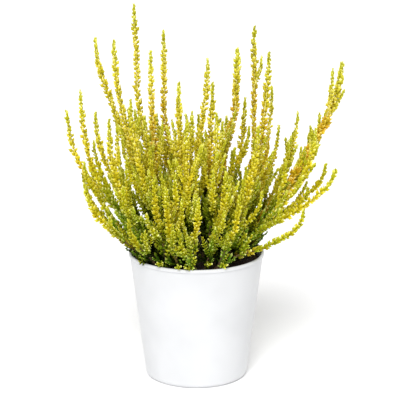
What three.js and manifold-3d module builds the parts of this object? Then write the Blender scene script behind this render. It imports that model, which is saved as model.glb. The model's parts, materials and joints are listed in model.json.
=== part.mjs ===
// Potted heather: a golden-leaved ling in a white plastic pot, in millimetres, +Z up.
// The origin is the centre of the pot's flat underside. The plant's front faces -Y.
// Every leafy stem is one body: a woody stalk standing in a hole in the soil, its main spire,
// its side spires and its low sprigs. A spire is a tube whose surface carries opposite pairs of
// scale leaves, each pair turned by a quarter against the pair below it.

import * as THREE from "three";
import { mergeVertices } from "three/addons/utils/BufferGeometryUtils.js";
import Module from "manifold-3d";

const wasm = await Module();
wasm.setup();

// Pot
const POT_HEIGHT = 113.6;
const RIM_RADIUS = 60;
const BASE_RADIUS = 45.7;
const BASE_CORNER = 4.5;
const WALL = 1.6;
const LIP_WIDTH = 2.6;
const LIP_HEIGHT = 3.2;
const LIP_OVERHANG = 0.5;
const POT_SIDES = 34;
const ARC_STEPS = 3;
const DRAIN_HOLES = 6;
const DRAIN_RADIUS = 3.5;
const DRAIN_CIRCLE = 30;
const DRAIN_SIDES = 8;

// Soil
const SOIL_EDGE_Z = 105;
const SOIL_DOME = 2.6;
const SOIL_LUMP = 0.5;
const SOIL_LUMP_LENGTH = 26;
const SOIL_RING_SHARE = 0.6;
const SOIL_GAP = 0.3;

// Stalks in their holes
const STALK_RADIUS = 1.5;
const STALK_DEPTH = 10;
const BARE_STALK = 11;
const HOLE_RADIUS = 2.6;
const HOLE_SIDES = 4;

// Spires
const SPINE_STEP = 5;
const MAIN_RADIUS = 3.9;
const SIDE_RADIUS = 3.5;
const LEAF_PITCH = 7.8;
const VALLEY_SHARE = 0.5;
const LEAF_RISE = 0.34;
const TIP_TAPER = 26;
const TIP_SHARE = 0.4;
const ROOT_TAPER = 8;
const ROOT_SHARE = 0.45;
const ROOT_NARROW = 0.7;
const WAVE_SHARE = 0.006;
const USUAL_LEAN = 0.33;
const USUAL_CURL = 0.5;
const FIRST_RISE = 0.34;
const LAST_LEAN = 0.03;
const SPINE_SLACK = 1.06;
const FEWEST_STEPS = 3;
const FEWEST_TURNS = 1.2;
const MOST_TURNS = 2.6;
const TAPER_POWER = 0.7;
const NARROWEST = 0.9;
const WIDEST = 1.06;
const FIRST_MAIN_RING = 0.6;
const FIRST_SIDE_RING = 0.55;
const TIP_ROOM = 0.3;
const CORNERS = 4;

// Low sprigs
const SPRIG_RADIUS = 2.6;
const SPRIG_PITCH = 6.5;
const SPRIG_OUT = 15;
const SPRIG_UP = 9;
const SPRIG_JOINT = 4;
const SPRIG_CIRCLE = 30;
const SPRIG_SPREAD = 1.6;

// Room between spires
const CLEARANCE = 1.1;
const RELAX_ROUNDS = 240;
const RELAX_REACH = 32;
const FOOT_SHOVE = 0.25;
const SPIRE_SHOVE = 0.3;
const LEAST_APART = 0.1;
const SMOOTHING = 0.25;
const TIP_SMOOTHING = 0.3;
const HELD_MAIN = 3;
const HELD_SIDE = 1;
const SIDEWAYS_SHARE = 0.25;
const UPWARD_SHARE = 0.2;
const JUNCTION_LENGTH = 13;
const BASE_SPACING = 7.6;
const BASE_LIMIT = 48.5;
const RIM_ROOM = 1;
const RIM_BAND = 8;

// Leafy stems, from the left round the front to the right, then the back: where the stalk stands
// in the soil (foot), the tip of its main spire, how far it leaves sideways (lean), how much of it
// stands upright at the end (curl), its half width where it isn't usual (wide), and each side
// spire as the share of the main spine where it leaves and its tip.
const STEMS = [
  { foot: [-47, -22], tip: [-112, -12, 243], lean: 0.48, curl: 0.38, side: [[0.42, -97, -22, 200]] },
  { foot: [-43, -34], tip: [-96, -40, 184], lean: 0.36, curl: 0.44, side: [[0.4, -74, -56, 158]] },
  { foot: [-45, 6], tip: [-102, 24, 253], lean: 0.42, curl: 0.62, side: [[0.4, -92, 36, 205]] },
  { foot: [-28, -14], tip: [-86, -32, 246], lean: 0.45, curl: 0.4,
    side: [[0.35, -72, -42, 200], [0.25, -68, -6, 207]] },
  { foot: [-26, 15], tip: [-89, 40, 297], lean: 0.02, curl: 0.36, side: [[0.42, -74, 50, 232]] },
  { foot: [-36, -28], tip: [-73, -50, 244], lean: 0.6,
    side: [[0.74, -67, -42, 238], [0.32, -62, -66, 190]] },
  { foot: [-20, 2], tip: [-71, 4, 302], lean: 0.38,
    side: [[0.42, -58, 14, 240], [0.3, -64, -12, 219]] },
  { foot: [-24, -32], tip: [-55, -56, 261], lean: 0.02,
    side: [[0.3, -54, -72, 172], [0.36, -60, -34, 208]] },
  { foot: [-20, -20], tip: [-44, -36, 243], side: [[0.38, -40, -48, 218], [0.22, -51, -30, 180]] },
  { foot: [-23, 16], tip: [-55, 46, 326], lean: 0.58, side: [[0.42, -40, 56, 238]] },
  { foot: [-28, -7], tip: [-39, -16, 296], lean: 0.6, curl: 0.43, side: [[0.42, -29, -26, 236]] },
  { foot: [-8, 7], tip: [-29, 28, 306], lean: 0.85, side: [[0.42, -35, 16, 234]] },
  { foot: [-13, -18], tip: [-15, -34, 272], lean: 0.5,
    side: [[0.38, -20, -46, 208], [0.3, -31, -34, 199]] },
  { foot: [-6, -36], tip: [-8, -60, 245], side: [[0.35, -1, -74, 186]] },
  { foot: [-2, -25], tip: [-3, -42, 248], side: [[0.38, 0, -56, 206], [0.34, 7, -36, 214]] },
  { foot: [-7, 26], tip: [10, 44, 279], lean: -0.1, curl: 0.4, side: [[0.42, 2, 58, 224]] },
  { foot: [6, -4], tip: [14, -8, 267], lean: 0.3,
    side: [[0.42, 23, 4, 230], [0.34, 33, -16, 212], [0.3, 7, 14, 208]] },
  { foot: [8, -32], tip: [17, -54, 250], side: [[0.38, 14, -66, 203]] },
  { foot: [12, 36], tip: [27, 62, 223], side: [[0.38, 12, 74, 192]] },
  { foot: [8, 8], tip: [36, 14, 292], wide: 4.7, side: [[0.4, 46, 4, 226]] },
  { foot: [22, 33], tip: [44, 66, 238], lean: 0.15, side: [[0.38, 33, 80, 186]] },
  { foot: [8, 21], tip: [52, 42, 307], lean: 1.3, side: [[0.8, 58, 40, 281]] },
  { foot: [21, -13], tip: [61, -34, 298], lean: 0.6, side: [[0.38, 48, -44, 214], [0.32, 56, -22, 200]] },
  { foot: [16, -25], tip: [52, -54, 238], side: [[0.38, 40, -64, 196]] },
  { foot: [24, 22], tip: [74, 54, 216], wide: 3.1, side: [[0.5, 65, 61, 206], [0.35, 68, 30, 182]] },
  { foot: [30, 14], tip: [90, 34, 232], lean: 0.5, wide: 3.2, side: [[0.5, 82, 24, 208]] },
  { foot: [37, -5], tip: [125, 0, 283], lean: 0.2, curl: 0.45, wide: 4.5,
    side: [[0.78, 117, -9, 279]] },
  { foot: [33, 6], tip: [108, 12, 235], lean: 0.3, side: [[0.5, 92, 4, 207]] },
  { foot: [32, -13], tip: [103, -15, 227], lean: 0.3, side: [[0.5, 79, -8, 197]] },
  { foot: [25, -6], tip: [112, -22, 198], lean: 0.28, curl: 0.36, side: [[0.45, 96, -33, 180]] },
  { foot: [19, -19], tip: [119, -36, 197], lean: 0.18, curl: 0.34, side: [[0.35, 73, -40, 164]] },
  { foot: [16, -34], tip: [92, -48, 165], lean: 0.15, curl: 0.63, side: [] },
  { foot: [40, 4], tip: [74, 16, 187], side: [[0.45, 62, 6, 176]] },
  { foot: [34, -2], tip: [65, -10, 264], lean: 0.6, wide: 2.9, side: [] },
  { foot: [-24, -42], tip: [-36, -60, 197], side: [[0.4, -42, -74, 168]] },
  { foot: [-15, -45], tip: [-26, -72, 190], side: [[0.4, -19, -82, 160]] },
  { foot: [-14, -36], tip: [-18, -60, 197], side: [[0.45, -12, -72, 180]] },
  { foot: [-7, -47], tip: [1, -80, 182], side: [[0.4, -9, -82, 150]] },
  { foot: [8, -42], tip: [25, -56, 200], side: [[0.4, 24, -72, 170]] },
  { foot: [17, -44], tip: [36, -66, 182], side: [[0.4, 26, -78, 152]] },
  { foot: [27, -26], tip: [45, -38, 200], side: [[0.4, 56, -44, 180]] },
  { foot: [-34, -36], tip: [-56, -70, 160], side: [[0.4, -44, -64, 148]] },
  { foot: [1, -48], tip: [-14, -66, 150], side: [] },
  { foot: [-28, 32], tip: [-62, 66, 198], side: [[0.42, -74, 58, 176]] },
  { foot: [-20, 42], tip: [-42, 84, 190], side: [[0.42, -26, 76, 176]] },
  { foot: [-6, 46], tip: [-12, 90, 191], side: [[0.42, -2, 78, 170]] },
  { foot: [8, 46], tip: [18, 94, 186], side: [[0.42, 28, 82, 164]] },
  { foot: [24, 41], tip: [54, 84, 184], side: [[0.42, 66, 72, 168]] },
  { foot: [37, 30], tip: [92, 56, 182], side: [[0.42, 82, 66, 162]] },
  { foot: [-38, 28], tip: [-96, 50, 184], side: [[0.42, -84, 62, 164]] },
  { foot: [-46, -8], tip: [-100, 10, 182], side: [[0.42, -86, 22, 166]] },
  { foot: [44, 16], tip: [88, 38, 178], side: [] },
  { foot: [-6, 36], tip: [-20, 66, 208], side: [[0.42, -34, 62, 190]] },
];

// Corners closer than this are one corner
const MERGE_DISTANCE = 1e-4;

// One repeatable draw between 0 and 1 after another.
let seed = 7117;
function draw() {
  seed = (seed * 1664525 + 1013904223) % 4294967296;
  return seed / 4294967296;
}

const FULL_TURN = 2 * Math.PI;
const lerp = (a, b, t) => a + (b - a) * t;
const clamp = (value, low, high) => Math.min(high, Math.max(low, value));

// Height of the soil's surface before its lumps.
function soilZ(radius) {
  return SOIL_EDGE_Z + SOIL_DOME * (1 - (radius / RIM_RADIUS) ** 2);
}

// Point on a spine that leaves its root leaning outwards and ends upright.
function spinePoint(root, tip, lean, curl, t) {
  const leave = root.clone().lerp(tip, lean);
  leave.z = lerp(root.z, tip.z, FIRST_RISE);
  const arrive = tip.clone().lerp(root, LAST_LEAN);
  arrive.z = lerp(tip.z, root.z, curl);
  return new THREE.CubicBezierCurve3(root, leave, arrive, tip).getPoint(t);
}

// Points of a spine about every SPINE_STEP, with a slight natural wave that is still at both ends.
function spineOf(root, tip, lean, curl) {
  const reach = root.distanceTo(tip);
  const steps = Math.max(FEWEST_STEPS, Math.round((reach * SPINE_SLACK) / SPINE_STEP));
  const turns = lerp(FEWEST_TURNS, MOST_TURNS, draw());
  const start = draw() * FULL_TURN;
  const points = [];
  for (let i = 0; i <= steps; i += 1) {
    const t = i / steps;
    const point = spinePoint(root, tip, lean, curl, t);
    const sway = WAVE_SHARE * reach * Math.sin(Math.PI * t);
    point.x += sway * Math.sin(start + turns * FULL_TURN * t);
    point.y += sway * Math.cos(start + turns * FULL_TURN * t);
    points.push(point);
  }
  return points;
}

// Where the stalks stand, once their feet are eased apart.
function stalkPlaces() {
  const places = STEMS.map(({ foot }) => [...foot]);
  for (let round = 0; round < RELAX_ROUNDS; round += 1) {
    const moves = places.map(() => [0, 0]);
    places.forEach((a, i) => {
      places.forEach((b, j) => {
        const apart = Math.hypot(a[0] - b[0], a[1] - b[1]);
        if (i === j || apart >= BASE_SPACING) return;
        const shove = (FOOT_SHOVE * (BASE_SPACING - apart)) / apart;
        moves[i][0] += shove * (a[0] - b[0]);
        moves[i][1] += shove * (a[1] - b[1]);
      });
    });
    places.forEach((place, i) => {
      place[0] += moves[i][0];
      place[1] += moves[i][1];
      const inside = Math.min(1, BASE_LIMIT / Math.hypot(place[0], place[1]));
      place[0] *= inside;
      place[1] *= inside;
    });
  }
  return places;
}

// A spire's half width, leaf tips included, at a distance from its root and from its tip.
function halfWidth(spire, fromRoot, fromTip) {
  const leafy = fromRoot - spire.bare;
  if (leafy < 0) return STALK_RADIUS;
  const swell = lerp(ROOT_SHARE, 1, clamp(leafy / ROOT_TAPER, 0, 1));
  const taper = lerp(TIP_SHARE, 1, clamp(fromTip / TIP_TAPER, 0, 1) ** TAPER_POWER);
  return spire.radius * Math.min(swell, taper);
}

// A spire that grows from a point of its stem's main spire.
function sideSpire(main, joint, tip, radius, pitch) {
  const points = spineOf(main.points[joint], tip, USUAL_LEAN, USUAL_CURL);
  return { node: main.node, points, radius, pitch, bare: 0, parent: main, joint };
}

// Lays out the spires of every stem before they are eased apart.
function layOut() {
  const spires = [];
  stalkPlaces().forEach(([x, y], node) => {
    const stem = STEMS[node];
    const ground = soilZ(Math.hypot(x, y));
    const tip = new THREE.Vector3(...stem.tip);
    const { lean = USUAL_LEAN, curl = USUAL_CURL, wide = MAIN_RADIUS } = stem;
    const points = spineOf(new THREE.Vector3(x, y, ground), tip, lean, curl);
    points.unshift(new THREE.Vector3(x, y, ground - STALK_DEPTH / 2));
    points.unshift(new THREE.Vector3(x, y, ground - STALK_DEPTH));
    const bare = STALK_DEPTH + BARE_STALK;
    const main = { node, points, radius: wide, pitch: LEAF_PITCH, bare, parent: null };
    spires.push(main);
    for (const [share, ...sideTip] of stem.side) {
      const joint = Math.round(share * (points.length - 1));
      spires.push(sideSpire(main, joint, new THREE.Vector3(...sideTip), SIDE_RADIUS, LEAF_PITCH));
    }
    if (Math.hypot(x, y) > SPRIG_CIRCLE) {
      const turn = Math.atan2(y, x) + SPRIG_SPREAD * (draw() - 0.5);
      const sprigTip = points[SPRIG_JOINT].clone();
      sprigTip.x += SPRIG_OUT * Math.cos(turn);
      sprigTip.y += SPRIG_OUT * Math.sin(turn);
      sprigTip.z += SPRIG_UP;
      spires.push(sideSpire(main, SPRIG_JOINT, sprigTip, SPRIG_RADIUS, SPRIG_PITCH));
    }
  });
  return spires;
}

// Beads along each spine, each with the room that its spire fills there.
function threadBeads(spires) {
  for (const spire of spires) {
    const last = spire.points.length - 1;
    spire.beads = spire.points.map((at, k) => {
      const fromRoot = k * SPINE_STEP;
      const room = halfWidth(spire, fromRoot, (last - k) * SPINE_STEP);
      const forked = spire.parent ? fromRoot : Infinity;
      const shift = new THREE.Vector3();
      const push = new THREE.Vector3();
      return { spire, at, start: at.clone(), room, forked, shift, push };
    });
  }
  return spires.flatMap((spire) => spire.beads);
}

// Pairs of beads on different spires that may come too close, with the distance they need.
function closePairs(beads) {
  const pairs = [];
  beads.forEach((a, i) => {
    for (const b of beads.slice(i + 1)) {
      if (a.spire === b.spire || a.at.distanceTo(b.at) > RELAX_REACH) continue;
      const akin = a.spire.node === b.spire.node;
      if (akin && Math.min(a.forked, b.forked) < JUNCTION_LENGTH) continue;
      pairs.push([a, b, a.room + b.room + CLEARANCE]);
    }
  });
  return pairs;
}

// Spreads each shift along its spine, so that a spine stays smooth and keeps its root.
function smoothShifts(spire) {
  const shifts = spire.beads.map((bead) => bead.shift.clone());
  const rootShift = spire.parent ? spire.parent.beads[spire.joint].shift : new THREE.Vector3();
  const held = spire.parent ? HELD_SIDE : HELD_MAIN;
  const last = shifts.length - 1;
  spire.beads.forEach((bead, k) => {
    if (k < held) {
      bead.shift.copy(rootShift);
    } else if (k < last) {
      const neighbours = shifts[k - 1].clone().add(shifts[k + 1]);
      bead.shift.multiplyScalar(1 - 2 * SMOOTHING).addScaledVector(neighbours, SMOOTHING);
    } else {
      bead.shift.lerp(shifts[k - 1], TIP_SMOOTHING);
    }
  });
  for (const bead of spire.beads) bead.at.addVectors(bead.start, bead.shift);
  return spire.beads.slice(held);
}

// Eases the spires apart, mostly in depth, and keeps them off the soil and the pot's lip.
function easeApart(spires) {
  const beads = threadBeads(spires);
  const pairs = closePairs(beads);
  for (let round = 0; round < RELAX_ROUNDS; round += 1) {
    for (const [a, b, room] of pairs) {
      const apart = a.at.distanceTo(b.at);
      if (apart >= room) continue;
      const shove = (SPIRE_SHOVE * (room - apart)) / Math.max(apart, LEAST_APART);
      const push = new THREE.Vector3().subVectors(a.at, b.at).multiplyScalar(shove);
      push.x *= SIDEWAYS_SHARE;
      push.z *= UPWARD_SHARE;
      a.push.add(push);
      b.push.sub(push);
    }
    for (const bead of beads) {
      bead.shift.add(bead.push);
      bead.push.set(0, 0, 0);
    }
    for (const spire of spires) {
      for (const bead of smoothShifts(spire)) {
        const radius = Math.hypot(bead.at.x, bead.at.y);
        const base = radius > RIM_RADIUS - RIM_BAND ? POT_HEIGHT : soilZ(radius);
        const lowest = radius > RIM_RADIUS + RIM_BAND ? 0 : base + bead.room + RIM_ROOM;
        bead.shift.z += Math.max(0, lowest - bead.at.z);
        bead.at.z = Math.max(lowest, bead.at.z);
      }
    }
  }
}

// A closed solid from vertices and triangles.
function solidFrom(vertices, triangles) {
  const vertProperties = Float32Array.from(vertices);
  const triVerts = Uint32Array.from(triangles);
  return new wasm.Manifold(new wasm.Mesh({ numProp: 3, vertProperties, triVerts }));
}

// Where a spire's rings sit along it, and how far their leaf tips and valleys stand out.
function stationsOf(spire, length) {
  const stalk = { tip: STALK_RADIUS, valley: STALK_RADIUS, rise: 0 };
  const twig = { tip: STALK_RADIUS * ROOT_NARROW, valley: STALK_RADIUS * ROOT_NARROW, rise: 0 };
  const stations = spire.parent
    ? [{ at: 0, ...twig }]
    : [0, STALK_DEPTH, spire.bare].map((at) => ({ at, ...stalk }));
  const firstShare = spire.parent ? FIRST_SIDE_RING : FIRST_MAIN_RING;
  const first = spire.bare + firstShare * spire.pitch;
  const count = Math.max(2, Math.round((length - first) / spire.pitch));
  const pitch = (length - first) / (count + TIP_ROOM);
  for (let k = 0; k < count; k += 1) {
    const at = first + k * pitch;
    const tip = halfWidth(spire, at, length - at) * lerp(NARROWEST, WIDEST, draw());
    stations.push({ at, tip, valley: tip * VALLEY_SHARE, rise: LEAF_RISE * pitch });
  }
  return stations;
}

// A spire's body: four corners a ring, two of them leaf tips that stand out and up, turned by a
// quarter from ring to ring, between a flat root and a pointed tip.
function spireSolid(spire) {
  const line = new THREE.CatmullRomCurve3(spire.points);
  const length = line.getLength();
  const stations = stationsOf(spire, length);
  const vertices = [];
  const triangles = [];
  const turn = draw() * Math.PI;
  const side = new THREE.Vector3(Math.cos(turn), Math.sin(turn), 0);
  stations.forEach(({ at, tip, valley, rise }, ring) => {
    const centre = line.getPointAt(at / length);
    const along = line.getTangentAt(at / length);
    side.addScaledVector(along, -side.dot(along)).normalize();
    const across = new THREE.Vector3().crossVectors(along, side);
    for (let corner = 0; corner < CORNERS; corner += 1) {
      const isTip = (corner + ring) % 2 === 0;
      const out = isTip ? tip : valley;
      const angle = (corner * FULL_TURN) / CORNERS;
      const vertex = centre.clone().addScaledVector(along, isTip ? rise : 0);
      vertex.addScaledVector(side, out * Math.cos(angle));
      vertex.addScaledVector(across, out * Math.sin(angle));
      vertices.push(...vertex.toArray());
    }
  });
  const top = (stations.length - 1) * CORNERS;
  const apex = top + CORNERS;
  vertices.push(...line.getPointAt(1).toArray());
  for (let corner = 0; corner < CORNERS; corner += 1) {
    const next = (corner + 1) % CORNERS;
    for (let low = 0; low < top; low += CORNERS) {
      const [a, b] = [low + corner, low + next];
      const [c, d] = [b + CORNERS, a + CORNERS];
      if ((corner + low / CORNERS) % 2 === 0) triangles.push(a, b, d, b, c, d);
      else triangles.push(a, b, c, a, c, d);
    }
    triangles.push(top + corner, top + next, apex);
  }
  triangles.push(0, 2, 1, 0, 3, 2);
  return solidFrom(vertices, triangles);
}

// A three.js geometry as a solid.
function solidOf(geometry) {
  const bare = geometry.index ? geometry.toNonIndexed() : geometry.clone();
  bare.deleteAttribute("normal");
  bare.deleteAttribute("uv");
  const merged = mergeVertices(bare, MERGE_DISTANCE);
  return solidFrom(merged.attributes.position.array, merged.index.array);
}

// The mesh of a solid, named and coloured.
function meshOf(name, solid, colour, roughness) {
  const { vertProperties, triVerts } = solid.getMesh();
  const geometry = new THREE.BufferGeometry();
  geometry.setAttribute("position", new THREE.BufferAttribute(vertProperties, 3));
  geometry.setIndex(new THREE.BufferAttribute(triVerts, 1));
  const material = new THREE.MeshStandardMaterial({ color: colour, roughness, metalness: 0 });
  const mesh = new THREE.Mesh(geometry, material);
  mesh.name = name;
  return mesh;
}

// Lathe about the pot's axis from a profile of [radius, z] points, bottom first.
function turned(profile) {
  const points = profile.map(([radius, z]) => new THREE.Vector2(radius, z));
  return new THREE.LatheGeometry(points, POT_SIDES).rotateX(Math.PI / 2);
}

// Profile points of a round between two angles.
function arc(centreRadius, centreZ, radius, from, to) {
  return Array.from({ length: ARC_STEPS + 1 }, (_, k) => {
    const angle = THREE.MathUtils.degToRad(lerp(from, to, k / ARC_STEPS));
    return [centreRadius + radius * Math.cos(angle), centreZ + radius * Math.sin(angle)];
  });
}

// Outer radius of the pot's straight wall at a height.
function wallRadius(z) {
  return lerp(BASE_RADIUS, RIM_RADIUS - LIP_OVERHANG, (z - BASE_CORNER) / (POT_HEIGHT - BASE_CORNER));
}

function potSolid() {
  const lipFoot = POT_HEIGHT - LIP_HEIGHT;
  const lipRound = LIP_WIDTH / 2;
  const cornerCentre = BASE_RADIUS - BASE_CORNER;
  const profile = [
    [0, 0],
    ...arc(cornerCentre, BASE_CORNER, BASE_CORNER, -90, 0),
    [wallRadius(lipFoot), lipFoot],
    [RIM_RADIUS, lipFoot + LIP_OVERHANG],
    ...arc(RIM_RADIUS - lipRound, POT_HEIGHT - lipRound, lipRound, 0, 180),
    [RIM_RADIUS - LIP_WIDTH, lipFoot + LIP_OVERHANG],
    [wallRadius(lipFoot) - WALL, lipFoot - LIP_OVERHANG],
    [cornerCentre + BASE_CORNER - WALL, BASE_CORNER],
    [cornerCentre, WALL],
    [0, WALL],
  ];
  let pot = solidOf(turned(profile));
  for (let k = 0; k < DRAIN_HOLES; k += 1) {
    const angle = (k * FULL_TURN) / DRAIN_HOLES;
    const hole = new THREE.CylinderGeometry(DRAIN_RADIUS, DRAIN_RADIUS, 3 * WALL, DRAIN_SIDES);
    hole.rotateX(Math.PI / 2);
    hole.translate(DRAIN_CIRCLE * Math.cos(angle), DRAIN_CIRCLE * Math.sin(angle), WALL / 2);
    pot = pot.subtract(solidOf(hole));
  }
  return pot;
}

// Peat that fills the pot, domed and lumpy on top, with a plain hole for every stalk.
function soilSolid(stalks) {
  const edge = wallRadius(SOIL_EDGE_Z) - WALL - SOIL_GAP;
  const profile = [
    [0, WALL + SOIL_GAP],
    [BASE_RADIUS - BASE_CORNER - SOIL_GAP, WALL + SOIL_GAP],
    [BASE_RADIUS - WALL - SOIL_GAP, BASE_CORNER + SOIL_GAP],
    [edge, soilZ(edge)],
    [SOIL_RING_SHARE * edge, soilZ(SOIL_RING_SHARE * edge)],
    [0, soilZ(0)],
  ];
  const body = turned(profile);
  const corners = body.getAttribute("position");
  for (let i = 0; i < corners.count; i += 1) {
    const [x, y, z] = [corners.getX(i), corners.getY(i), corners.getZ(i)];
    if (z < SOIL_EDGE_Z) continue;
    const pace = FULL_TURN / SOIL_LUMP_LENGTH;
    const wave = Math.sin(x * pace) + Math.cos(y * pace);
    corners.setZ(i, z + (SOIL_LUMP / 2) * wave);
  }
  let soil = solidOf(body);
  for (const { x, y, z } of stalks) {
    const depth = 2 * STALK_DEPTH;
    const hole = new THREE.CylinderGeometry(HOLE_RADIUS, HOLE_RADIUS, depth, HOLE_SIDES);
    hole.rotateX(Math.PI / 2);
    hole.translate(x, y, z - SOIL_GAP + depth / 2);
    soil = soil.subtract(solidOf(hole));
  }
  return soil;
}

const spires = layOut();
easeApart(spires);
const mains = spires.filter((spire) => !spire.parent);

const heather = new THREE.Group();
heather.add(meshOf("pot", potSolid(), 0xf4f4f2, 0.35));
heather.add(meshOf("soil", soilSolid(mains.map((main) => main.points[0])), 0x2b1d14, 0.95));
mains.forEach((main) => {
  let stem = spireSolid(main);
  for (const spire of spires) {
    if (spire.parent === main) stem = stem.add(spireSolid(spire));
  }
  const name = `leafy_stem_${String(main.node + 1).padStart(2, "0")}`;
  heather.add(meshOf(name, stem, 0xc6bd2e, 0.6));
});

export default heather;
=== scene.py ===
# Potted heather: the looks of a golden-leaved ling in its white plastic pot.
# Lengths are named in millimetres and turned to metres where a mesh is made. The origin is the
# centre of the pot's underside, +Z is up, and the plant's front faces -Y.

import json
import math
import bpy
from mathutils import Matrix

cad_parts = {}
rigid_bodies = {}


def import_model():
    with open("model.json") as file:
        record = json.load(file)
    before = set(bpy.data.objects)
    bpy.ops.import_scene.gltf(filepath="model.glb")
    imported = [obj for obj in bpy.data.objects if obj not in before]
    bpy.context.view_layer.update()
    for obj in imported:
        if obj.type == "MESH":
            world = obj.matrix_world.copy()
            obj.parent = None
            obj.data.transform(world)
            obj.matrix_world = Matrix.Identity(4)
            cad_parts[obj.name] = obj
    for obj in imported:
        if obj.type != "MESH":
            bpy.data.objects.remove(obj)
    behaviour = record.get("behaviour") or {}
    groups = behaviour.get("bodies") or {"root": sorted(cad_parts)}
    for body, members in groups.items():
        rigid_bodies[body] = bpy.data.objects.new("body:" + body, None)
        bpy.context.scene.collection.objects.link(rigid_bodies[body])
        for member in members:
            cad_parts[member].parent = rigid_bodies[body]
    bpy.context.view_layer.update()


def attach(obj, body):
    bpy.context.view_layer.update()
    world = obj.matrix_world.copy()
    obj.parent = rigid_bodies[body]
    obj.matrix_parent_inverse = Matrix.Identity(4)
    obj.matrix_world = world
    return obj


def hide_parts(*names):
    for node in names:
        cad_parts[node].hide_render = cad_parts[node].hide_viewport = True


bl_info = {
    "name": "Potted Heather",
    "version": (1, 0, 0),
    "blender": (4, 5, 0),
    "location": "3D View > Sidebar > Heather",
    "description": "Leafy stems, peat and pot of a golden heather, around its packed solids",
    "category": "Add Mesh",
}

import bpy
import numpy as np
from bpy.props import FloatProperty, FloatVectorProperty, IntProperty, PointerProperty

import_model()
MM = 0.001
FULL_TURN = 2 * math.pi

# Pot, as its solid has it
POT_HEIGHT = 113.6
RIM_RADIUS = 60
BASE_RADIUS = 45.7
BASE_CORNER = 4.5
WALL = 1.6
LIP_WIDTH = 2.6
LIP_HEIGHT = 3.2
LIP_OVERHANG = 0.5
DRAIN_HOLES = 6
DRAIN_RADIUS = 3.5
DRAIN_CIRCLE = 30
POT_SIDES = 128
ARC_STEPS = 8
LIP_ARC_STEPS = 12
UNDERLIP_START = -60
UNDERLIP_STEPS = 3
DRAIN_SIDES = 24
DRILL_DEPTH = 3 * WALL
WELD = 0.01
POT_CREASE = 32

# Soil, as its solid has it
SOIL_EDGE_Z = 105
SOIL_DOME = 2.6
SOIL_GAP = 0.3

# Stalks and spires, as their solids have them
STALK_RADIUS = 1.5
STALK_DEPTH = 10
BARE_STALK = 11
SPINE_STEP = 5
MAIN_RADIUS = 3.9
SIDE_RADIUS = 3.5
TIP_TAPER = 26
TIP_SHARE = 0.4
TAPER_POWER = 0.7
ROOT_TAPER = 8
ROOT_SHARE = 0.45
WAVE_SHARE = 0.006
USUAL_LEAN = 0.33
USUAL_CURL = 0.5
FIRST_RISE = 0.34
LAST_LEAN = 0.03
SPINE_SLACK = 1.06
FEWEST_STEPS = 3
FEWEST_TURNS = 1.2
MOST_TURNS = 2.6
SPRIG_RADIUS = 2.6
SPRIG_OUT = 15
SPRIG_UP = 9
SPRIG_JOINT = 4
SPRIG_CIRCLE = 30
SPRIG_SPREAD = 1.6

# Room between spires, as their solids have it
CLEARANCE = 1.1
RELAX_ROUNDS = 240
RELAX_REACH = 32
FOOT_SHOVE = 0.25
SPIRE_SHOVE = 0.3
LEAST_APART = 0.1
SMOOTHING = 0.25
TIP_SMOOTHING = 0.3
HELD_MAIN = 3
HELD_SIDE = 1
SHOVE_SHARES = (0.25, 1, 0.2)
JUNCTION_LENGTH = 13
BASE_SPACING = 7.6
BASE_LIMIT = 48.5
RIM_ROOM = 1
RIM_BAND = 8
LAYOUT_SEED = 7117
DRAW_FACTOR = 1664525
DRAW_STEP = 1013904223
DRAW_RANGE = 2**32


def stem_at(foot, tip, side=(), lean=USUAL_LEAN, curl=USUAL_CURL, wide=MAIN_RADIUS):
    """The plan of one leafy stem: where its stalk stands in the soil, the tip of its main spire,
    each side spire as the share of the main spine where it leaves and its tip, how far the main
    spire leaves sideways, how much of it stands upright at the end, and its half width."""
    return {"foot": foot, "tip": tip, "side": side, "lean": lean, "curl": curl, "wide": wide}


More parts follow.
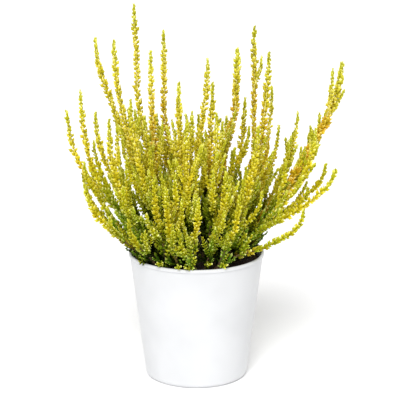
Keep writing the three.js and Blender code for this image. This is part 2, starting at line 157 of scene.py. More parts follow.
# Leafy stems, from the left round the front to the right, then the back
STEMS = [
    stem_at((-47, -22), (-112, -12, 243), [(0.42, -97, -22, 200)], lean=0.48, curl=0.38),
    stem_at((-43, -34), (-96, -40, 184), [(0.4, -74, -56, 158)], lean=0.36, curl=0.44),
    stem_at((-45, 6), (-102, 24, 253), [(0.4, -92, 36, 205)], lean=0.42, curl=0.62),
    stem_at((-28, -14), (-86, -32, 246), [(0.35, -72, -42, 200), (0.25, -68, -6, 207)], lean=0.45, curl=0.4),
    stem_at((-26, 15), (-89, 40, 297), [(0.42, -74, 50, 232)], lean=0.02, curl=0.36),
    stem_at((-36, -28), (-73, -50, 244), [(0.74, -67, -42, 238), (0.32, -62, -66, 190)], lean=0.6),
    stem_at((-20, 2), (-71, 4, 302), [(0.42, -58, 14, 240), (0.3, -64, -12, 219)], lean=0.38),
    stem_at((-24, -32), (-55, -56, 261), [(0.3, -54, -72, 172), (0.36, -60, -34, 208)], lean=0.02),
    stem_at((-20, -20), (-44, -36, 243), [(0.38, -40, -48, 218), (0.22, -51, -30, 180)]),
    stem_at((-23, 16), (-55, 46, 326), [(0.42, -40, 56, 238)], lean=0.58),
    stem_at((-28, -7), (-39, -16, 296), [(0.42, -29, -26, 236)], lean=0.6, curl=0.43),
    stem_at((-8, 7), (-29, 28, 306), [(0.42, -35, 16, 234)], lean=0.85),
    stem_at((-13, -18), (-15, -34, 272), [(0.38, -20, -46, 208), (0.3, -31, -34, 199)], lean=0.5),
    stem_at((-6, -36), (-8, -60, 245), [(0.35, -1, -74, 186)]),
    stem_at((-2, -25), (-3, -42, 248), [(0.38, 0, -56, 206), (0.34, 7, -36, 214)]),
    stem_at((-7, 26), (10, 44, 279), [(0.42, 2, 58, 224)], lean=-0.1, curl=0.4),
    stem_at((6, -4), (14, -8, 267), [(0.42, 23, 4, 230), (0.34, 33, -16, 212), (0.3, 7, 14, 208)], lean=0.3),
    stem_at((8, -32), (17, -54, 250), [(0.38, 14, -66, 203)]),
    stem_at((12, 36), (27, 62, 223), [(0.38, 12, 74, 192)]),
    stem_at((8, 8), (36, 14, 292), [(0.4, 46, 4, 226)], wide=4.7),
    stem_at((22, 33), (44, 66, 238), [(0.38, 33, 80, 186)], lean=0.15),
    stem_at((8, 21), (52, 42, 307), [(0.8, 58, 40, 281)], lean=1.3),
    stem_at((21, -13), (61, -34, 298), [(0.38, 48, -44, 214), (0.32, 56, -22, 200)], lean=0.6),
    stem_at((16, -25), (52, -54, 238), [(0.38, 40, -64, 196)]),
    stem_at((24, 22), (74, 54, 216), [(0.5, 65, 61, 206), (0.35, 68, 30, 182)], wide=3.1),
    stem_at((30, 14), (90, 34, 232), [(0.5, 82, 24, 208)], lean=0.5, wide=3.2),
    stem_at((37, -5), (125, 0, 283), [(0.78, 117, -9, 279)], lean=0.2, curl=0.45, wide=4.5),
    stem_at((33, 6), (108, 12, 235), [(0.5, 92, 4, 207)], lean=0.3),
    stem_at((32, -13), (103, -15, 227), [(0.5, 79, -8, 197)], lean=0.3),
    stem_at((25, -6), (112, -22, 198), [(0.45, 96, -33, 180)], lean=0.28, curl=0.36),
    stem_at((19, -19), (119, -36, 197), [(0.35, 73, -40, 164)], lean=0.18, curl=0.34),
    stem_at((16, -34), (92, -48, 165), lean=0.15, curl=0.63),
    stem_at((40, 4), (74, 16, 187), [(0.45, 62, 6, 176)]),
    stem_at((34, -2), (65, -10, 264), lean=0.6, wide=2.9),
    stem_at((-24, -42), (-36, -60, 197), [(0.4, -42, -74, 168)]),
    stem_at((-15, -45), (-26, -72, 190), [(0.4, -19, -82, 160)]),
    stem_at((-14, -36), (-18, -60, 197), [(0.45, -12, -72, 180)]),
    stem_at((-7, -47), (1, -80, 182), [(0.4, -9, -82, 150)]),
    stem_at((8, -42), (25, -56, 200), [(0.4, 24, -72, 170)]),
    stem_at((17, -44), (36, -66, 182), [(0.4, 26, -78, 152)]),
    stem_at((27, -26), (45, -38, 200), [(0.4, 56, -44, 180)]),
    stem_at((-34, -36), (-56, -70, 160), [(0.4, -44, -64, 148)]),
    stem_at((1, -48), (-14, -66, 150)),
    stem_at((-28, 32), (-62, 66, 198), [(0.42, -74, 58, 176)]),
    stem_at((-20, 42), (-42, 84, 190), [(0.42, -26, 76, 176)]),
    stem_at((-6, 46), (-12, 90, 191), [(0.42, -2, 78, 170)]),
    stem_at((8, 46), (18, 94, 186), [(0.42, 28, 82, 164)]),
    stem_at((24, 41), (54, 84, 184), [(0.42, 66, 72, 168)]),
    stem_at((37, 30), (92, 56, 182), [(0.42, 82, 66, 162)]),
    stem_at((-38, 28), (-96, 50, 184), [(0.42, -84, 62, 164)]),
    stem_at((-46, -8), (-100, 10, 182), [(0.42, -86, 22, 166)]),
    stem_at((44, 16), (88, 38, 178)),
    stem_at((-6, 36), (-20, 66, 208), [(0.42, -34, 62, 190)]),
]


def srgb(hex_code):
    """Linear colour of an sRGB hex value."""
    channels = [int(hex_code[k : k + 2], 16) / 255 for k in (1, 3, 5)]
    return [c / 12.92 if c <= 0.04045 else ((c + 0.055) / 1.055) ** 2.4 for c in channels]


def lerp(a, b, t):
    return a + (b - a) * t


def unit(vectors):
    """Vectors brought to length one."""
    return vectors / np.linalg.norm(vectors, axis=-1, keepdims=True)


def smooth_step(low, high, value):
    """0 below low, 1 above high, and a soft passage between them."""
    share = np.clip((value - low) / (high - low), 0, 1)
    return share * share * (3 - 2 * share)


def soil_z(radius):
    """Height of the soil's surface before its lumps."""
    return SOIL_EDGE_Z + SOIL_DOME * (1 - (radius / RIM_RADIUS) ** 2)


def wall_radius(z):
    """Outer radius of the pot's straight wall at a height."""
    share = (z - BASE_CORNER) / (POT_HEIGHT - BASE_CORNER)
    return lerp(BASE_RADIUS, RIM_RADIUS - LIP_OVERHANG, share)


# Layout of the spires


class Draws:
    """One repeatable draw between 0 and 1 after another, the same as in the solids."""

    def __init__(self):
        self.seed = LAYOUT_SEED

    def next(self):
        self.seed = (self.seed * DRAW_FACTOR + DRAW_STEP) % DRAW_RANGE
        return self.seed / DRAW_RANGE


def spine_of(draws, root, tip, lean, curl):
    """Points of a spine that leaves its root leaning outwards and ends upright."""
    reach = np.linalg.norm(tip - root)
    steps = max(FEWEST_STEPS, math.floor(reach * SPINE_SLACK / SPINE_STEP + 0.5))
    turns = lerp(FEWEST_TURNS, MOST_TURNS, draws.next())
    start = draws.next() * FULL_TURN
    leave = lerp(root, tip, lean)
    leave[2] = lerp(root[2], tip[2], FIRST_RISE)
    arrive = lerp(tip, root, LAST_LEAN)
    arrive[2] = lerp(tip[2], root[2], curl)
    t = np.arange(steps + 1)[:, None] / steps
    s = 1 - t
    points = s**3 * root + 3 * s * s * t * leave + 3 * s * t * t * arrive + t**3 * tip
    sway = WAVE_SHARE * reach * np.sin(math.pi * t[:, 0])
    points[:, 0] += sway * np.sin(start + turns * FULL_TURN * t[:, 0])
    points[:, 1] += sway * np.cos(start + turns * FULL_TURN * t[:, 0])
    return points


def stalk_places():
    """Where the stalks stand, once their feet are eased apart."""
    places = np.array([stem["foot"] for stem in STEMS], float)
    for _ in range(RELAX_ROUNDS):
        between = places[:, None] - places[None]
        apart = np.linalg.norm(between, axis=2)
        np.fill_diagonal(apart, BASE_SPACING)
        shove = FOOT_SHOVE * np.maximum(BASE_SPACING - apart, 0) / apart
        places += (shove[..., None] * between).sum(axis=1)
        radius = np.linalg.norm(places, axis=1, keepdims=True)
        places *= np.minimum(1, BASE_LIMIT / radius)
    return places


def spire_of(stem, points, radius, bare=0, parent=None, joint=0):
    """A spire: its stem's number, its points, half width and bare length, and what it grows from."""
    return {
        "stem": stem,
        "points": points,
        "radius": radius,
        "bare": bare,
        "parent": parent,
        "joint": joint,
    }


def side_spire(draws, main, joint, tip, radius):
    """A spire that grows from a point of its stem's main spire."""
    points = spine_of(draws, main["points"][joint], tip, USUAL_LEAN, USUAL_CURL)
    return spire_of(main["stem"], points, radius, 0, main, joint)


def lay_out():
    """The spires of every stem before they are eased apart."""
    draws = Draws()
    spires = []
    for number, (plan, (x, y)) in enumerate(zip(STEMS, stalk_places())):
        ground = soil_z(math.hypot(x, y))
        root = np.array([x, y, ground])
        tip = np.array(plan["tip"], float)
        buried = [[x, y, ground - STALK_DEPTH], [x, y, ground - STALK_DEPTH / 2]]
        points = np.vstack([buried, spine_of(draws, root, tip, plan["lean"], plan["curl"])])
        main = spire_of(number, points, plan["wide"], STALK_DEPTH + BARE_STALK)
        spires.append(main)
        for share, *side_tip in plan["side"]:
            joint = math.floor(share * (len(points) - 1) + 0.5)
            spires.append(side_spire(draws, main, joint, np.array(side_tip, float), SIDE_RADIUS))
        if math.hypot(x, y) > SPRIG_CIRCLE:
            turn = math.atan2(y, x) + SPRIG_SPREAD * (draws.next() - 0.5)
            out = [SPRIG_OUT * math.cos(turn), SPRIG_OUT * math.sin(turn), SPRIG_UP]
            sprig_tip = main["points"][SPRIG_JOINT] + out
            spires.append(side_spire(draws, main, SPRIG_JOINT, sprig_tip, SPRIG_RADIUS))
    return spires


def half_width(spire, from_root, from_tip):
    """A spire's half width, leaf tips included, at distances from its root and from its tip."""
    leafy = from_root - spire["bare"]
    swell = lerp(ROOT_SHARE, 1, np.clip(leafy / ROOT_TAPER, 0, 1))
    taper = lerp(TIP_SHARE, 1, np.clip(from_tip / TIP_TAPER, 0, 1) ** TAPER_POWER)
    return np.where(leafy < 0, STALK_RADIUS, spire["radius"] * np.minimum(swell, taper))


def thread_beads(spires):
    """Beads along all spines, in one row: what each stands on and how much room it needs."""
    row = {name: [] for name in ("at", "room", "forked", "spire", "stem", "held", "last")}
    row["first"] = np.cumsum([0] + [len(spire["points"]) for spire in spires])
    for number, spire in enumerate(spires):
        count = len(spire["points"])
        k = np.arange(count)
        is_side = spire["parent"] is not None
        row["at"].append(spire["points"])
        row["room"].append(half_width(spire, k * SPINE_STEP, (count - 1.0 - k) * SPINE_STEP))
        row["forked"].append(k * SPINE_STEP if is_side else np.full(count, np.inf))
        row["spire"].append(np.full(count, number))
        row["stem"].append(np.full(count, spire["stem"]))
        row["held"].append(k < (HELD_SIDE if is_side else HELD_MAIN))
        row["last"].append(k == count - 1)
    return {name: np.concatenate(v) if isinstance(v, list) else v for name, v in row.items()}


def close_pairs(beads):
    """Pairs of beads on different spires that may come too close, with the distance they need."""
    at, spire, stem, forked = (beads[name] for name in ("at", "spire", "stem", "forked"))
    firsts, seconds = [], []
    for i in range(len(at) - 1):
        j = np.arange(i + 1, len(at))
        near = np.linalg.norm(at[j] - at[i], axis=1) <= RELAX_REACH
        akin = (stem[j] == stem[i]) & (np.minimum(forked[j], forked[i]) < JUNCTION_LENGTH)
        kept = j[near & (spire[j] != spire[i]) & ~akin]
        firsts.append(np.full(len(kept), i))
        seconds.append(kept)
    firsts = np.concatenate(firsts)
    seconds = np.concatenate(seconds)
    return firsts, seconds, beads["room"][firsts] + beads["room"][seconds] + CLEARANCE


def ease_apart(spires):
    """Eases the spires apart, mostly in depth, and keeps them off the soil and the pot's lip."""
    beads = thread_beads(spires)
    start, room, held = beads["at"].copy(), beads["room"], beads["held"]
    at = start.copy()
    a, b, need = close_pairs(beads)
    shift = np.zeros_like(at)
    is_side = np.array([spire["parent"] is not None for spire in spires])[beads["spire"]]
    order = {id(spire): number for number, spire in enumerate(spires)}
    roots = np.zeros(len(at), int)
    for number, spire in enumerate(spires):
        if spire["parent"] is not None:
            mine = slice(beads["first"][number], beads["first"][number + 1])
            roots[mine] = beads["first"][order[id(spire["parent"])]] + spire["joint"]
    inner = ~held & ~beads["last"]
    tips = np.flatnonzero(beads["last"])
    middles = np.flatnonzero(inner)

    def settle(chosen):
        """Puts beads where their shifts say and lifts the free ones off what lies below."""
        at[chosen] = start[chosen] + shift[chosen]
        free = chosen & ~held
        radius = np.hypot(at[:, 0], at[:, 1])
        base = np.where(radius > RIM_RADIUS - RIM_BAND, POT_HEIGHT, soil_z(radius))
        lowest = np.where(radius > RIM_RADIUS + RIM_BAND, 0, base + room + RIM_ROOM)
        lift = np.where(free, np.maximum(0, lowest - at[:, 2]), 0)
        shift[:, 2] += lift
        at[:, 2] += lift

    for _ in range(RELAX_ROUNDS):
        between = at[a] - at[b]
        apart = np.linalg.norm(between, axis=1)
        shove = SPIRE_SHOVE * np.maximum(need - apart, 0) / np.maximum(apart, LEAST_APART)
        push = shove[:, None] * between * SHOVE_SHARES
        for axis in range(3):
            shift[:, axis] += np.bincount(a, push[:, axis], len(at))
            shift[:, axis] -= np.bincount(b, push[:, axis], len(at))
        before = shift.copy()
        around = before[middles - 1] + before[middles + 1]
        shift[middles] = (1 - 2 * SMOOTHING) * before[middles] + SMOOTHING * around
        shift[tips] = lerp(before[tips], before[tips - 1], TIP_SMOOTHING)
        shift[held & ~is_side] = 0
        settle(~is_side)
        shift[held & is_side] = shift[roots[held & is_side]]
        settle(is_side)
    for number, spire in enumerate(spires):
        spire["points"] = at[beads["first"][number] : beads["first"][number + 1]]


# Small helpers for meshes


def deselect_all():
    if bpy.context.object and bpy.context.object.mode != "OBJECT":
        bpy.ops.object.mode_set(mode="OBJECT")
    bpy.ops.object.select_all(action="DESELECT")


def take(obj):
    """Makes an object the only selected and the active one."""
    deselect_all()
    obj.select_set(True)
    bpy.context.view_layer.objects.active = obj
    return obj


def active(name):
    """The object an operator has just added, named."""
    obj = bpy.context.object
    obj.name = name
    obj.data.name = name
    return obj


def select_corners(obj, chosen):
    """Selects the vertices that a rule picks by their place, in edit mode."""
    bpy.ops.mesh.select_all(action="DESELECT")
    bpy.ops.object.mode_set(mode="OBJECT")
    for corner in obj.data.vertices:
        corner.select = bool(chosen(corner.co))
    bpy.ops.object.mode_set(mode="EDIT")


def apply_modifier(obj, kind, name, **settings):
    """Adds a modifier with its settings and applies it."""
    modifier = obj.modifiers.new(name, kind)
    for key, value in settings.items():
        setattr(modifier, key, value)
    take(obj)
    bpy.ops.object.modifier_apply(modifier=name)


def mesh_object(name, corners, triangles):
    """An object whose mesh has these corners, in millimetres, and these triangles."""
    mesh = bpy.data.meshes.new(name)
    mesh.vertices.add(len(corners))
    mesh.vertices.foreach_set("co", np.ascontiguousarray(corners * MM, np.float32).ravel())
    mesh.loops.add(triangles.size)
    mesh.loops.foreach_set("vertex_index", np.ascontiguousarray(triangles, np.int32).ravel())
    mesh.polygons.add(len(triangles))
    mesh.polygons.foreach_set("loop_start", np.arange(0, triangles.size, 3, dtype=np.int32))
    mesh.update(calc_edges=True)
    obj = bpy.data.objects.new(name, mesh)
    bpy.context.scene.collection.objects.link(obj)
    return obj


def join_to(obj, others):
    """Joins other objects to one."""
    take(obj)
    for other in others:
        other.select_set(True)
    bpy.ops.object.join()


def add_number(obj, name, values):
    """Writes one number for each vertex, for the material to read."""
    attribute = obj.data.attributes.new(name, "FLOAT", "POINT")
    attribute.data.foreach_set("value", np.ascontiguousarray(values, np.float32).ravel())


def corners_of(mesh):
    """Corners of a mesh as rows, in metres."""
    corners = np.empty(len(mesh.vertices) * 3, np.float32)
    mesh.vertices.foreach_get("co", corners)
    return corners.reshape(-1, 3)


def model_of(obj):
    """A modelled part's corners and triangles, and the object itself taken away."""
    mesh = obj.data
    corners = corners_of(mesh)
    triangles = np.empty(len(mesh.polygons) * 3, np.int32)
    mesh.polygons.foreach_get("vertices", triangles)
    bpy.data.objects.remove(obj)
    bpy.data.meshes.remove(mesh)
    return corners, triangles.reshape(-1, 3)


def grown(name, sides, radius, rings, tip=None):
    """A shape grown from a small polygon: each ring moves on and widens, and a tip closes it."""
    deselect_all()
    bpy.ops.mesh.primitive_circle_add(vertices=sides, radius=radius, fill_type="NGON")
    shape = active(name)
    bpy.ops.object.mode_set(mode="EDIT")
    for move, widths in rings:
        bpy.ops.mesh.extrude_region_move(TRANSFORM_OT_translate={"value": move})
        bpy.ops.transform.resize(value=(*widths, 1))
    if tip:
        bpy.ops.mesh.extrude_region_move(TRANSFORM_OT_translate={"value": tip})
        bpy.ops.mesh.merge(type="CENTER")
    return shape


def grown_model(shape):
    """The model of a grown shape, of triangles that face outwards."""
    bpy.ops.mesh.select_all(action="SELECT")
    bpy.ops.mesh.normals_make_consistent(inside=False)
    bpy.ops.mesh.quads_convert_to_tris()
    bpy.ops.object.mode_set(mode="OBJECT")
    return model_of(shape)


def copies(model, places, axes, sizes):
    """Corners and triangles of copies of a model: where each starts, its three axes, its size."""
    corners, triangles = model
    turned = np.einsum("nj,mji->mni", corners, axes * sizes[:, None, None])
    placed = places[:, None] + turned
    steps = np.arange(len(places))[:, None, None] * len(corners)
    return placed.reshape(-1, 3), (triangles[None] + steps).reshape(-1, 3)


# Small helpers for materials

MIX_FACTOR, MIX_A, MIX_B, MIX_RESULT = 0, 6, 7, 2


def new_material(name):
    """An empty node material with its output and Principled shader."""
    material = bpy.data.materials.new(name)
    material.use_nodes = True
    tree = material.node_tree
    tree.nodes.clear()
    shader = tree.nodes.new("ShaderNodeBsdfPrincipled")
    output = tree.nodes.new("ShaderNodeOutputMaterial")
    tree.links.new(shader.outputs["BSDF"], output.inputs["Surface"])
    return material, tree, shader


def feed(tree, node, inputs):
    """Gives each input of a node a number, a colour or a link."""
    for key, value in inputs.items():
        if isinstance(value, bpy.types.NodeSocket):
            tree.links.new(value, node.inputs[key])
        else:
            node.inputs[key].default_value = value


def add_node(tree, kind, inputs=None, **settings):
    """Adds a node with its settings and its inputs."""
    node = tree.nodes.new(kind)
    for name, value in settings.items():
        setattr(node, name, value)
    feed(tree, node, inputs or {})
    return node


def object_place(tree):
    """The shaded place in the object's own frame."""
    return add_node(tree, "ShaderNodeTexCoord").outputs["Object"]


def noise(tree, place, size, detail):
    """A cloudy value whose patches are about so many millimetres wide."""
    inputs = {"Vector": place, "Scale": 1 / (size * MM), "Detail": detail}
    return add_node(tree, "ShaderNodeTexNoise", inputs).outputs["Fac"]


def ramp(tree, value, stops):
    """A colour that follows a value, by stops that each have a place and a linear colour."""
    node = add_node(tree, "ShaderNodeValToRGB", {"Fac": value})
    elements = node.color_ramp.elements
    while len(elements) < len(stops):
        elements.new(1)
    for element, (place, colour) in zip(elements, stops):
        element.position = place
        element.color = (*colour, 1)
    return node.outputs["Color"]


def mixed(tree, factor, first, second, blend="MIX"):
    """A colour mixed of two."""
    inputs = {MIX_FACTOR: factor, MIX_A: first, MIX_B: second}
    node = add_node(tree, "ShaderNodeMix", inputs, data_type="RGBA", blend_type=blend)
    return node.outputs[MIX_RESULT]


def bumped(tree, height, strength, depth, **settings):
    """A normal bumped by a height value, to a depth in millimetres."""
    inputs = {"Strength": strength, "Distance": depth * MM, "Height": height}
    return add_node(tree, "ShaderNodeBump", inputs, **settings).outputs["Normal"]


# Small helpers for settings


def length_setting(name, description, default, low, high):
    """A length in the panel, its numbers given in millimetres."""
    return FloatProperty(
        name=name,
        description=description,
        default=default * MM,
        min=low * MM,
        max=high * MM,
        precision=4,
        subtype="DISTANCE",
        unit="LENGTH",
    )


def colour_setting(name, description, hex_code):
    return FloatVectorProperty(
        name=name,
        description=description,
        default=srgb(hex_code),
        size=3,
        min=0,
        max=1,
        subtype="COLOR",
    )


def strength_setting(name, description, default, high):
    return FloatProperty(name=name, description=description, default=default, min=0, max=high)


def count_setting(name, description, default, high):
    return IntProperty(name=name, description=description, default=default, min=0, max=high)


# Pot

MILKINESS = 0.94
CLOUD_SIZE = 40
GRAIN_SIZE = 1.2


class HeatherPotSettings(bpy.types.PropertyGroup):
    """Sizes and colour of the pot."""

    lip: length_setting("Lip width", "Width of the rounded lip round the pot's mouth", LIP_WIDTH, 1, 6)
    colour: colour_setting("Colour", "Colour of the pot's plastic", "#CFD0D2")


def arc(centre_radius, centre_z, radius, start, end, steps):
    """Profile points of a round between two angles in degrees."""
    angles = [math.radians(lerp(start, end, k / steps)) for k in range(steps + 1)]
    return [
        (centre_radius + radius * math.cos(a), centre_z + radius * math.sin(a)) for a in angles
    ]


def pot_profile(lip_width):
    """Half section of the pot, from the middle of its underside round to its inner floor."""
    lip_foot = POT_HEIGHT - LIP_HEIGHT
    lip_round = lip_width / 2
    corner = BASE_RADIUS - BASE_CORNER
    return [
        (0, 0),
        *arc(corner, BASE_CORNER, BASE_CORNER, -90, 0, ARC_STEPS),
        (wall_radius(lip_foot), lip_foot),
        *arc(
            RIM_RADIUS - LIP_OVERHANG,
            lip_foot + LIP_OVERHANG,
            LIP_OVERHANG,
            UNDERLIP_START,
            0,
            UNDERLIP_STEPS,
        ),
        *arc(RIM_RADIUS - lip_round, POT_HEIGHT - lip_round, lip_round, 0, 180, LIP_ARC_STEPS),
        (RIM_RADIUS - lip_width, lip_foot + LIP_OVERHANG),
        (wall_radius(lip_foot) - WALL, lip_foot - LIP_OVERHANG),
        *arc(corner, BASE_CORNER, BASE_CORNER - WALL, 0, -90, ARC_STEPS),
        (0, WALL),
    ]


def spun(name, profile, sides):
    """A closed solid spun about the pot's axis from a half section."""
    mesh = bpy.data.meshes.new(name)
    corners = [(radius * MM, 0, z * MM) for radius, z in profile]
    mesh.from_pydata(corners, [(k, k + 1) for k in range(len(corners) - 1)], [])
    obj = bpy.data.objects.new(name, mesh)
    bpy.context.scene.collection.objects.link(obj)
    take(obj)
    bpy.ops.object.mode_set(mode="EDIT")
    bpy.ops.mesh.select_all(action="SELECT")
    bpy.ops.mesh.spin(steps=sides, angle=FULL_TURN, center=(0, 0, 0), axis=(0, 0, 1))
    bpy.ops.mesh.select_all(action="SELECT")
    bpy.ops.mesh.remove_doubles(threshold=WELD * MM)
    bpy.ops.mesh.normals_make_consistent(inside=False)
    bpy.ops.object.mode_set(mode="OBJECT")
    return obj


def pot_plastic(colour):
    """Polypropylene, injection moulded: a satin, faintly milky white that picks up soft glints,
    with the slight unevenness of thin moulded walls."""
    material, tree, shader = new_material("Moulded white polypropylene")
    place = object_place(tree)
    milky = [channel * MILKINESS for channel in colour]
    tint = ramp(tree, noise(tree, place, CLOUD_SIZE, detail=2), [(0.35, milky), (0.65, colour)])
    grain = noise(tree, place, GRAIN_SIZE, detail=3)
    normal = bumped(tree, grain, strength=0.12, depth=0.05)
    feed(tree, shader, {"Base Color": tint, "Normal": normal, "Roughness": 0.36, "IOR": 1.49})
    return material


class HEATHER_OT_pot(bpy.types.Operator):
    """Spins the pot and drills its drain holes"""

    bl_idname = "heather.pot"
    bl_label = "Pot"

    def execute(self, context):
        settings = context.scene.heather_pot
        pot = spun("plastic_pot", pot_profile(settings.lip / MM), POT_SIDES)
        for k in range(DRAIN_HOLES):
            angle = k * FULL_TURN / DRAIN_HOLES
            deselect_all()
            bpy.ops.mesh.primitive_cylinder_add(
                vertices=DRAIN_SIDES,
                radius=DRAIN_RADIUS * MM,
                depth=DRILL_DEPTH * MM,
                location=(
                    DRAIN_CIRCLE * MM * math.cos(angle),
                    DRAIN_CIRCLE * MM * math.sin(angle),
                    WALL / 2 * MM,
                ),
            )
            drill = active("drill")
            apply_modifier(pot, "BOOLEAN", "drain hole", operation="DIFFERENCE", object=drill)
            bpy.data.objects.remove(drill)
        take(pot)
        bpy.ops.object.shade_smooth_by_angle(angle=math.radians(POT_CREASE))
        pot.data.materials.append(pot_plastic(settings.colour))
        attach(pot, "root")
        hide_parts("pot")
        return {"FINISHED"}


# Soil

CRUMBS = 1500
CRUMB_SIZES = (0.5, 1.9)
FIBRES = 260
FIBRE_SIZES = (3, 8)
CRUMB_MARGIN = 1
FIBRE_MARGIN = 5
CRUMB_ROUGHNESS = 0.16
CRUMB_SHAPE = (1.15, 0.9, 0.75)
CRUMB_SEED = 5
FIBRE_RADIUS = 0.016
FIBRE_RINGS = (
    ((0, 0.06, 0.3), (1.8, 1.8)),
    ((0, 0.02, 0.35), (1, 1)),
    ((0, -0.08, 0.35), (0.4, 0.4)),
)
FIBRE_LIFT = 0.5
FIBRE_TILT = 0.12
SOIL_RINGS = 24
SOIL_CREASE = 50
TOP_SHARE = 0.9
LUMP_SIZE = 7
LUMP_HEIGHT = 2.4
LUMP_DETAIL = 3
DARK_PEAT = 0.28
PEAT_PATCH = 6
PEAT_CRUMB = 1.4
SOIL_SEED = 41


class HeatherSoilSettings(bpy.types.PropertyGroup):
    """Amounts and colour of the peat."""

    crumbs: count_setting("Crumbs", "Loose crumbs on the peat", CRUMBS, 3000)
    fibres: count_setting("Fibres", "Short fibres on the peat", FIBRES, 800)
    colour: colour_setting("Colour", "Colour of moist peat", "#33231A")


def peat(colour):
    """Moist sphagnum peat: dark brown, matt and crumbly, with paler dry crumbs and fibres."""
    material, tree, shader = new_material("Moist peat compost")
    place = object_place(tree)
    dark = [channel * DARK_PEAT for channel in colour]
    stops = [(0.3, dark), (0.55, list(colour)), (0.78, srgb("#5A4130"))]
    tint = ramp(tree, noise(tree, place, PEAT_PATCH, detail=6), stops)
    inputs = {"Vector": place, "Scale": 1 / (PEAT_CRUMB * MM)}
    crumbs = add_node(tree, "ShaderNodeTexVoronoi", inputs).outputs["Distance"]
    normal = bumped(tree, crumbs, strength=0.7, depth=0.5, invert=True)
    feed(tree, shader, {"Base Color": tint, "Normal": normal, "Roughness": 0.92})
    return material


def crumb_model():
    """One crumb of peat, about as wide as its size, of a few dozen faces."""
    deselect_all()
    bpy.ops.mesh.primitive_ico_sphere_add(subdivisions=1, radius=0.5)
    crumb = active("crumb")
    bpy.ops.object.mode_set(mode="EDIT")
    bpy.ops.transform.vertex_random(offset=CRUMB_ROUGHNESS, seed=CRUMB_SEED)
    bpy.ops.transform.resize(value=CRUMB_SHAPE, center_override=(0, 0, 0))
    bpy.ops.object.mode_set(mode="OBJECT")
    return model_of(crumb)


def fibre_model():
    """One bent fibre of peat, one unit long, flat and pointed at both ends."""
    return grown_model(grown("fibre", 3, FIBRE_RADIUS, FIBRE_RINGS))


def random_axes(rng, count):
    """Random turns as rows of three axes."""
    first = unit(rng.normal(size=(count, 3)))
    second = unit(np.cross(first, rng.normal(size=(count, 3))))
    return np.stack([first, second, np.cross(first, second)], axis=1)


def flat_axes(rng, count, most_tilt):
    """Turns whose third axis lies nearly flat, as rows of three axes."""
    turn = rng.uniform(0, FULL_TURN, count)
    tilt = rng.uniform(-most_tilt, most_tilt, count)
    along = np.stack([np.cos(turn) * np.cos(tilt), np.sin(turn) * np.cos(tilt), np.sin(tilt)], 1)
    side = np.stack([-np.sin(turn), np.cos(turn), 0 * turn], 1)
    return np.stack([side, np.cross(along, side), along], axis=1)


def scattered(rng, count, edge):
    """Places on the soil, evenly spread over its disc."""
    radius = edge * np.sqrt(rng.uniform(0, 1, count))
    turn = rng.uniform(0, FULL_TURN, count)
    return np.stack([radius * np.cos(turn), radius * np.sin(turn), soil_z(radius)], axis=1)


class HEATHER_OT_soil(bpy.types.Operator):
    """Fills the pot with peat and strews crumbs and fibres on it"""

    bl_idname = "heather.soil"
    bl_label = "Soil"

    def execute(self, context):
        settings = context.scene.heather_soil
        edge = wall_radius(SOIL_EDGE_Z) - WALL - SOIL_GAP
        rings = [edge * (1 - k / SOIL_RINGS) for k in range(1, SOIL_RINGS)]
        profile = [
            (0, WALL + SOIL_GAP),
            (BASE_RADIUS - BASE_CORNER - SOIL_GAP, WALL + SOIL_GAP),
            (BASE_RADIUS - WALL - SOIL_GAP, BASE_CORNER + SOIL_GAP),
            (edge, soil_z(edge)),
            *[(radius, soil_z(radius)) for radius in rings],
            (0, soil_z(0)),
        ]
        soil = spun("peat_soil", profile, POT_SIDES)
        top = soil.vertex_groups.new(name="top")
        top_z = TOP_SHARE * SOIL_EDGE_Z * MM
        top.add([v.index for v in soil.data.vertices if v.co.z > top_z], 1, "ADD")
        lumps = bpy.data.textures.new("peat lumps", "CLOUDS")
        lumps.noise_scale = LUMP_SIZE * MM
        lumps.noise_depth = LUMP_DETAIL
        apply_modifier(
            soil,
            "DISPLACE",
            "lumps",
            texture=lumps,
            texture_coords="LOCAL",
            direction="Z",
            strength=LUMP_HEIGHT * MM,
            mid_level=0.5,
            vertex_group="top",
        )
        rng = np.random.default_rng(SOIL_SEED)
        places = scattered(rng, settings.crumbs, edge - CRUMB_MARGIN)
        sizes = lerp(*CRUMB_SIZES, rng.uniform(0, 1, settings.crumbs) ** 2)
        axes = random_axes(rng, settings.crumbs)
        crumbs = mesh_object("crumbs", *copies(crumb_model(), places, axes, sizes))
        places = scattered(rng, settings.fibres, edge - FIBRE_MARGIN)
        places[:, 2] += FIBRE_LIFT
        sizes = rng.uniform(*FIBRE_SIZES, settings.fibres)
        axes = flat_axes(rng, settings.fibres, FIBRE_TILT)
        fibres = mesh_object("fibres", *copies(fibre_model(), places, axes, sizes))
        join_to(soil, [crumbs, fibres])
        bpy.ops.object.shade_smooth_by_angle(angle=math.radians(SOIL_CREASE))
        soil.data.materials.append(peat(settings.colour))
        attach(soil, "root")
        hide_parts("soil")
        return {"FINISHED"}


# Leafy stems

FOLIAGE_SEED = 2311

# Reading a spire's line
COURSE_STEPS = 6
SLOPE_REACH = 0.4
LEAST_OUT = 1

# Pairs of short shoots along a spire
PAIR_PITCH = 1.85
PITCH_SHARES = (0.85, 1.2)
TIP_PITCH = 1.5
FIRST_PAIR = 1
FIRST_SIDE_PAIR = 2
LAST_PAIR = 1.2
PAIR_JITTER = 0.3
TURN_JITTER = 20
TWIST = 0.02
SHOOT_LEAN = 39
TIP_LEAN = 10
LEAN_TAPER = 26
LEAN_POWER = 0.6
LEAN_JITTER = 9
SHOOT_REACH = 1.3
SHOOT_OUT = 0.3
SHOOT_SIZES = (0.8, 1.25)
SHOOT_GIRTHS = (0.75, 1.15)
WIDTH_TAPER = 26
WIDE_SPIRE = 4.2
WIDE_TAPER = 20
LEAFY_TIP_SHARE = 0.5

